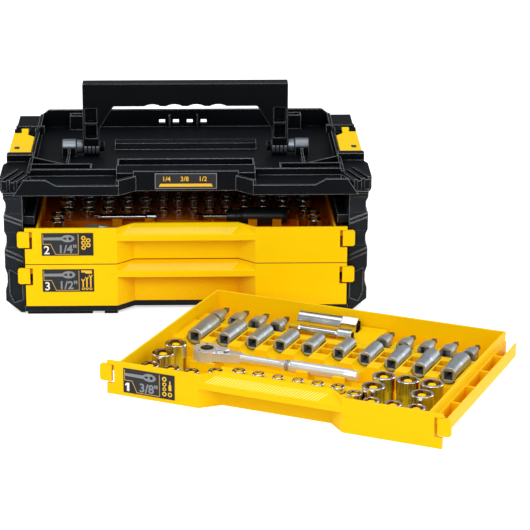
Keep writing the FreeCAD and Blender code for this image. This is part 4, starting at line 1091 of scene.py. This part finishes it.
def makeBackRibs():
    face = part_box("back_panel")[1][1] / mm
    near, far = face - backRib["sunkMm"], face + backRib["proudMm"]
    half, wide = backRib["halfMm"], backRib["widthMm"]
    low, high = backRib["lowMm"], backRib["highMm"]
    bm = bmesh.new()
    for height in (low, high):
        addBlock(bm, (-half, near, height), (half, far, height + wide))
    for i in range(backRib["uprights"]):
        x = -half + (2 * half - wide) * i / (backRib["uprights"] - 1)
        addBlock(bm, (x, near, low + wide), (x + wide, far, high))
    piece = addPiece("back_ribs", "case", wallBlack, finishMesh(bm, "back_ribs"))
    roundEdges(piece, backRib["roundMm"])


makeBackRibs()
print("back ribs made")

# Posts that the standing sockets sit on: moulded with the tray, seen in each socket's mouth.
socketPost = {
    "groups": (
        ("drawer_1", "tall_sockets", 9.53),
        ("drawer_1", "short_sockets", 9.53),
        ("drawer_2", "quarter_sockets", 6.35),
        ("drawer_3", "half_sockets", 12.7),
    ),
    "share": 0.52,
    "clearMm": 0.3,
    "belowRimMm": 1.6,
    "roundMm": 0.8,
    "bend": 0.3,
    "steps": 20,
}


# Lowest and highest corner of each separate solid of a node.
def solidBoxes(name):
    node = nodes[name]
    bm = bmesh.new()
    bm.from_mesh(node.data)
    bm.transform(node.matrix_world)
    bmesh.ops.remove_doubles(bm, verts=bm.verts, dist=edgeRounding["mergeMm"] * mm)
    waiting = set(bm.verts)
    boxes = []
    while waiting:
        group, edgeOfGroup = [], [waiting.pop()]
        while edgeOfGroup:
            vert = edgeOfGroup.pop()
            group.append(vert.co.copy())
            for edge in vert.link_edges:
                other = edge.other_vert(vert)
                if other in waiting:
                    waiting.discard(other)
                    edgeOfGroup.append(other)
        low = Vector([min(co[axis] for co in group) for axis in range(3)])
        high = Vector([max(co[axis] for co in group) for axis in range(3)])
        boxes.append((low / mm, high / mm))
    bm.free()
    return sorted(boxes, key=lambda box: (round(box[0].x, 3), round(box[0].y, 3)))


def makeSocketPosts(body, group, driveMm):
    bm = bmesh.new()
    for low, high in solidBoxes(group):
        middle = (low + high) / 2
        wide = min(high.x - low.x, high.y - low.y) / 2
        radius = min(wide * socketPost["share"], driveMm / 2 - socketPost["clearMm"])
        tall = high.z - low.z - socketPost["belowRimMm"]
        soft = socketPost["roundMm"]
        bend = soft * socketPost["bend"]
        profile = [(0, radius), (tall - soft, radius), (tall - bend, radius - bend), (tall, radius - soft)]
        placing = Matrix.Translation(Vector((middle.x, middle.y, low.z)) * mm)
        addTurned(bm, profile, placing, socketPost["steps"])
    name = group + "_posts"
    addPiece(name, body, trayYellow, finishMesh(bm, name))


for body, group, driveMm in socketPost["groups"]:
    makeSocketPosts(body, group, driveMm)
print("socket posts made")

# Three dark rings rolled into the collar of the ratchet's grip.
ratchetRings = {
    "fromHead": (95.0, 96.8, 98.6),
    "ring": [(0, 5.0), (0, 6.05), (0.9, 6.05), (0.9, 5.0)],
    "steps": 32,
}


def makeRatchetRings():
    across = drawerAxes(1)[0]
    head = middleOf("ratchet_drive")
    head.z = middleOf("ratchet_body").z
    placing = placingFrom(head, across.cross(upward), upward, across)
    bm = bmesh.new()
    for start in ratchetRings["fromHead"]:
        profile = [(start + along, radius) for along, radius in ratchetRings["ring"]]
        addTurned(bm, profile, placing, ratchetRings["steps"])
    addPiece("ratchet_rings", "drawer_1", phosphateSteel, finishMesh(bm, "ratchet_rings"))


makeRatchetRings()
print("ratchet rings made")

# Dark washer round the ratchet's release button, let into the cover.
buttonWasher = {"innerMm": 5.9, "outerMm": 7.6, "sunkMm": 0.1, "proudMm": 0.15, "corners": 48}


def makeButtonWasher():
    at = middleOf("ratchet_button")
    at.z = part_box("ratchet_cover")[1][2]
    outer = scaled(roundOutline(0, 0, buttonWasher["outerMm"], buttonWasher["corners"]))
    inner = scaled(roundOutline(0, 0, buttonWasher["innerMm"], buttonWasher["corners"]))
    low, high = -buttonWasher["sunkMm"] * mm, buttonWasher["proudMm"] * mm
    bm = bmesh.new()
    addRing(bm, outer, inner, low, high, Matrix.Translation(at))
    addPiece("button_washer", "drawer_1", nylonBlack, finishMesh(bm, "button_washer"))


makeButtonWasher()
print("button washer made")

# Studio, in metres: a white sheet, a pale room and five soft lamps at a plain level.
studio = {
    "sheetSize": 9.0,
    "sheetDeep": "#F4F4F4",
    "sheetPale": "#FAFAFA",
    "fibreMm": 25,
    "sheetGlow": 0.62,
    "roomLevel": 0.36,
}


def makeStudio():
    bm = bmesh.new()
    half = studio["sheetSize"] / 2
    corners = ((-half, -half, 0), (half, -half, 0), (half, half, 0), (-half, half, 0))
    bm.faces.new([bm.verts.new(corner) for corner in corners])
    floor = bpy.data.objects.new("studio_sheet", finishMesh(bm, "studio_sheet"))
    bpy.context.scene.collection.objects.link(floor)
    material, tree = startMaterial("paper_backdrop_matte")
    path = addNode(tree, "LightPath")
    place = addNode(tree, "TexCoord").outputs["Object"]
    fibre = addNode(tree, "TexNoise", {"Scale": perMetre(studio["fibreMm"])}, {"Vector": place})
    tint = addNode(
        tree,
        "MixRGB",
        {"Color1": hexColour(studio["sheetDeep"]), "Color2": hexColour(studio["sheetPale"])},
        {"Fac": fibre.outputs["Fac"]},
    )
    paper = addNode(tree, "BsdfDiffuse", links={"Color": tint.outputs["Color"]})
    mirrored = addNode(
        tree,
        "Math",
        {"operation": "MAXIMUM"},
        {0: path.outputs["Is Glossy Ray"], 1: path.outputs["Is Transmission Ray"]},
    )
    seen = addNode(
        tree,
        "Math",
        {"operation": "MAXIMUM"},
        {0: path.outputs["Is Camera Ray"], 1: mirrored.outputs["Value"]},
    )
    level = addNode(
        tree,
        "Math",
        {"operation": "MULTIPLY", 1: studio["sheetGlow"]},
        {0: seen.outputs["Value"]},
    )
    glow = addNode(tree, "Emission", {"Color": (1, 1, 1, 1)}, {"Strength": level.outputs["Value"]})
    both = addNode(tree, "AddShader", links={0: paper.outputs["BSDF"], 1: glow.outputs["Emission"]})
    addNode(tree, "OutputMaterial", links={"Surface": both.outputs["Shader"]})
    floor.data.materials.append(material)
    world = bpy.data.worlds.new("pale_room")
    world.use_nodes = True
    tree = world.node_tree
    tree.nodes.clear()
    room = addNode(tree, "Background", {"Color": (1, 1, 1, 1), "Strength": studio["roomLevel"]})
    addNode(tree, "OutputWorld", links={"Surface": room.outputs["Background"]})
    bpy.context.scene.world = world


lamps = {
    "key_left": {"at": (-1.3, -3.8, 2.7), "size": 2.6, "watts": 82},
    "fill_right": {"at": (2.7, -2.8, 1.7), "size": 2.6, "watts": 42},
    "top": {"at": (0.2, -0.4, 3.0), "size": 2.8, "watts": 36},
    "side_left": {"at": (-3.2, 0.5, 1.3), "size": 2.0, "watts": 32},
    "side_right": {"at": (3.2, 0.9, 1.3), "size": 2.0, "watts": 32},
}
lampAim = Vector((0.05, -0.2, 0.08))


def makeLamps():
    for name, lamp in lamps.items():
        light = bpy.data.lights.new(name, "AREA")
        light.energy = lamp["watts"]
        light.size = lamp["size"]
        holder = bpy.data.objects.new(name, light)
        holder.location = lamp["at"]
        holder.rotation_euler = (lampAim - holder.location).to_track_quat("-Z", "Y").to_euler()
        bpy.context.scene.collection.objects.link(holder)


# Camera between the one that fits the case and the nearer, higher one that fits the loose drawer.
camera = {
    "sensorMm": 36,
    "lensMm": 149.06,
    "at": (0.0, -2.6216, 0.8872),
    "pitch": 18.5,
    "yaw": 1.1,
    "shiftX": 0.073,
}


def makeCamera():
    lens = bpy.data.cameras.new("camera")
    lens.sensor_width = camera["sensorMm"]
    lens.lens = camera["lensMm"]
    lens.shift_x = camera["shiftX"]
    holder = bpy.data.objects.new("camera", lens)
    holder.location = camera["at"]
    holder.rotation_euler = (math.radians(90 - camera["pitch"]), 0, math.radians(-camera["yaw"]))
    bpy.context.scene.collection.objects.link(holder)
    bpy.context.scene.camera = holder


makeStudio()
makeLamps()
makeCamera()
bpy.context.scene.view_settings.view_transform = "Standard"
print("studio ready")
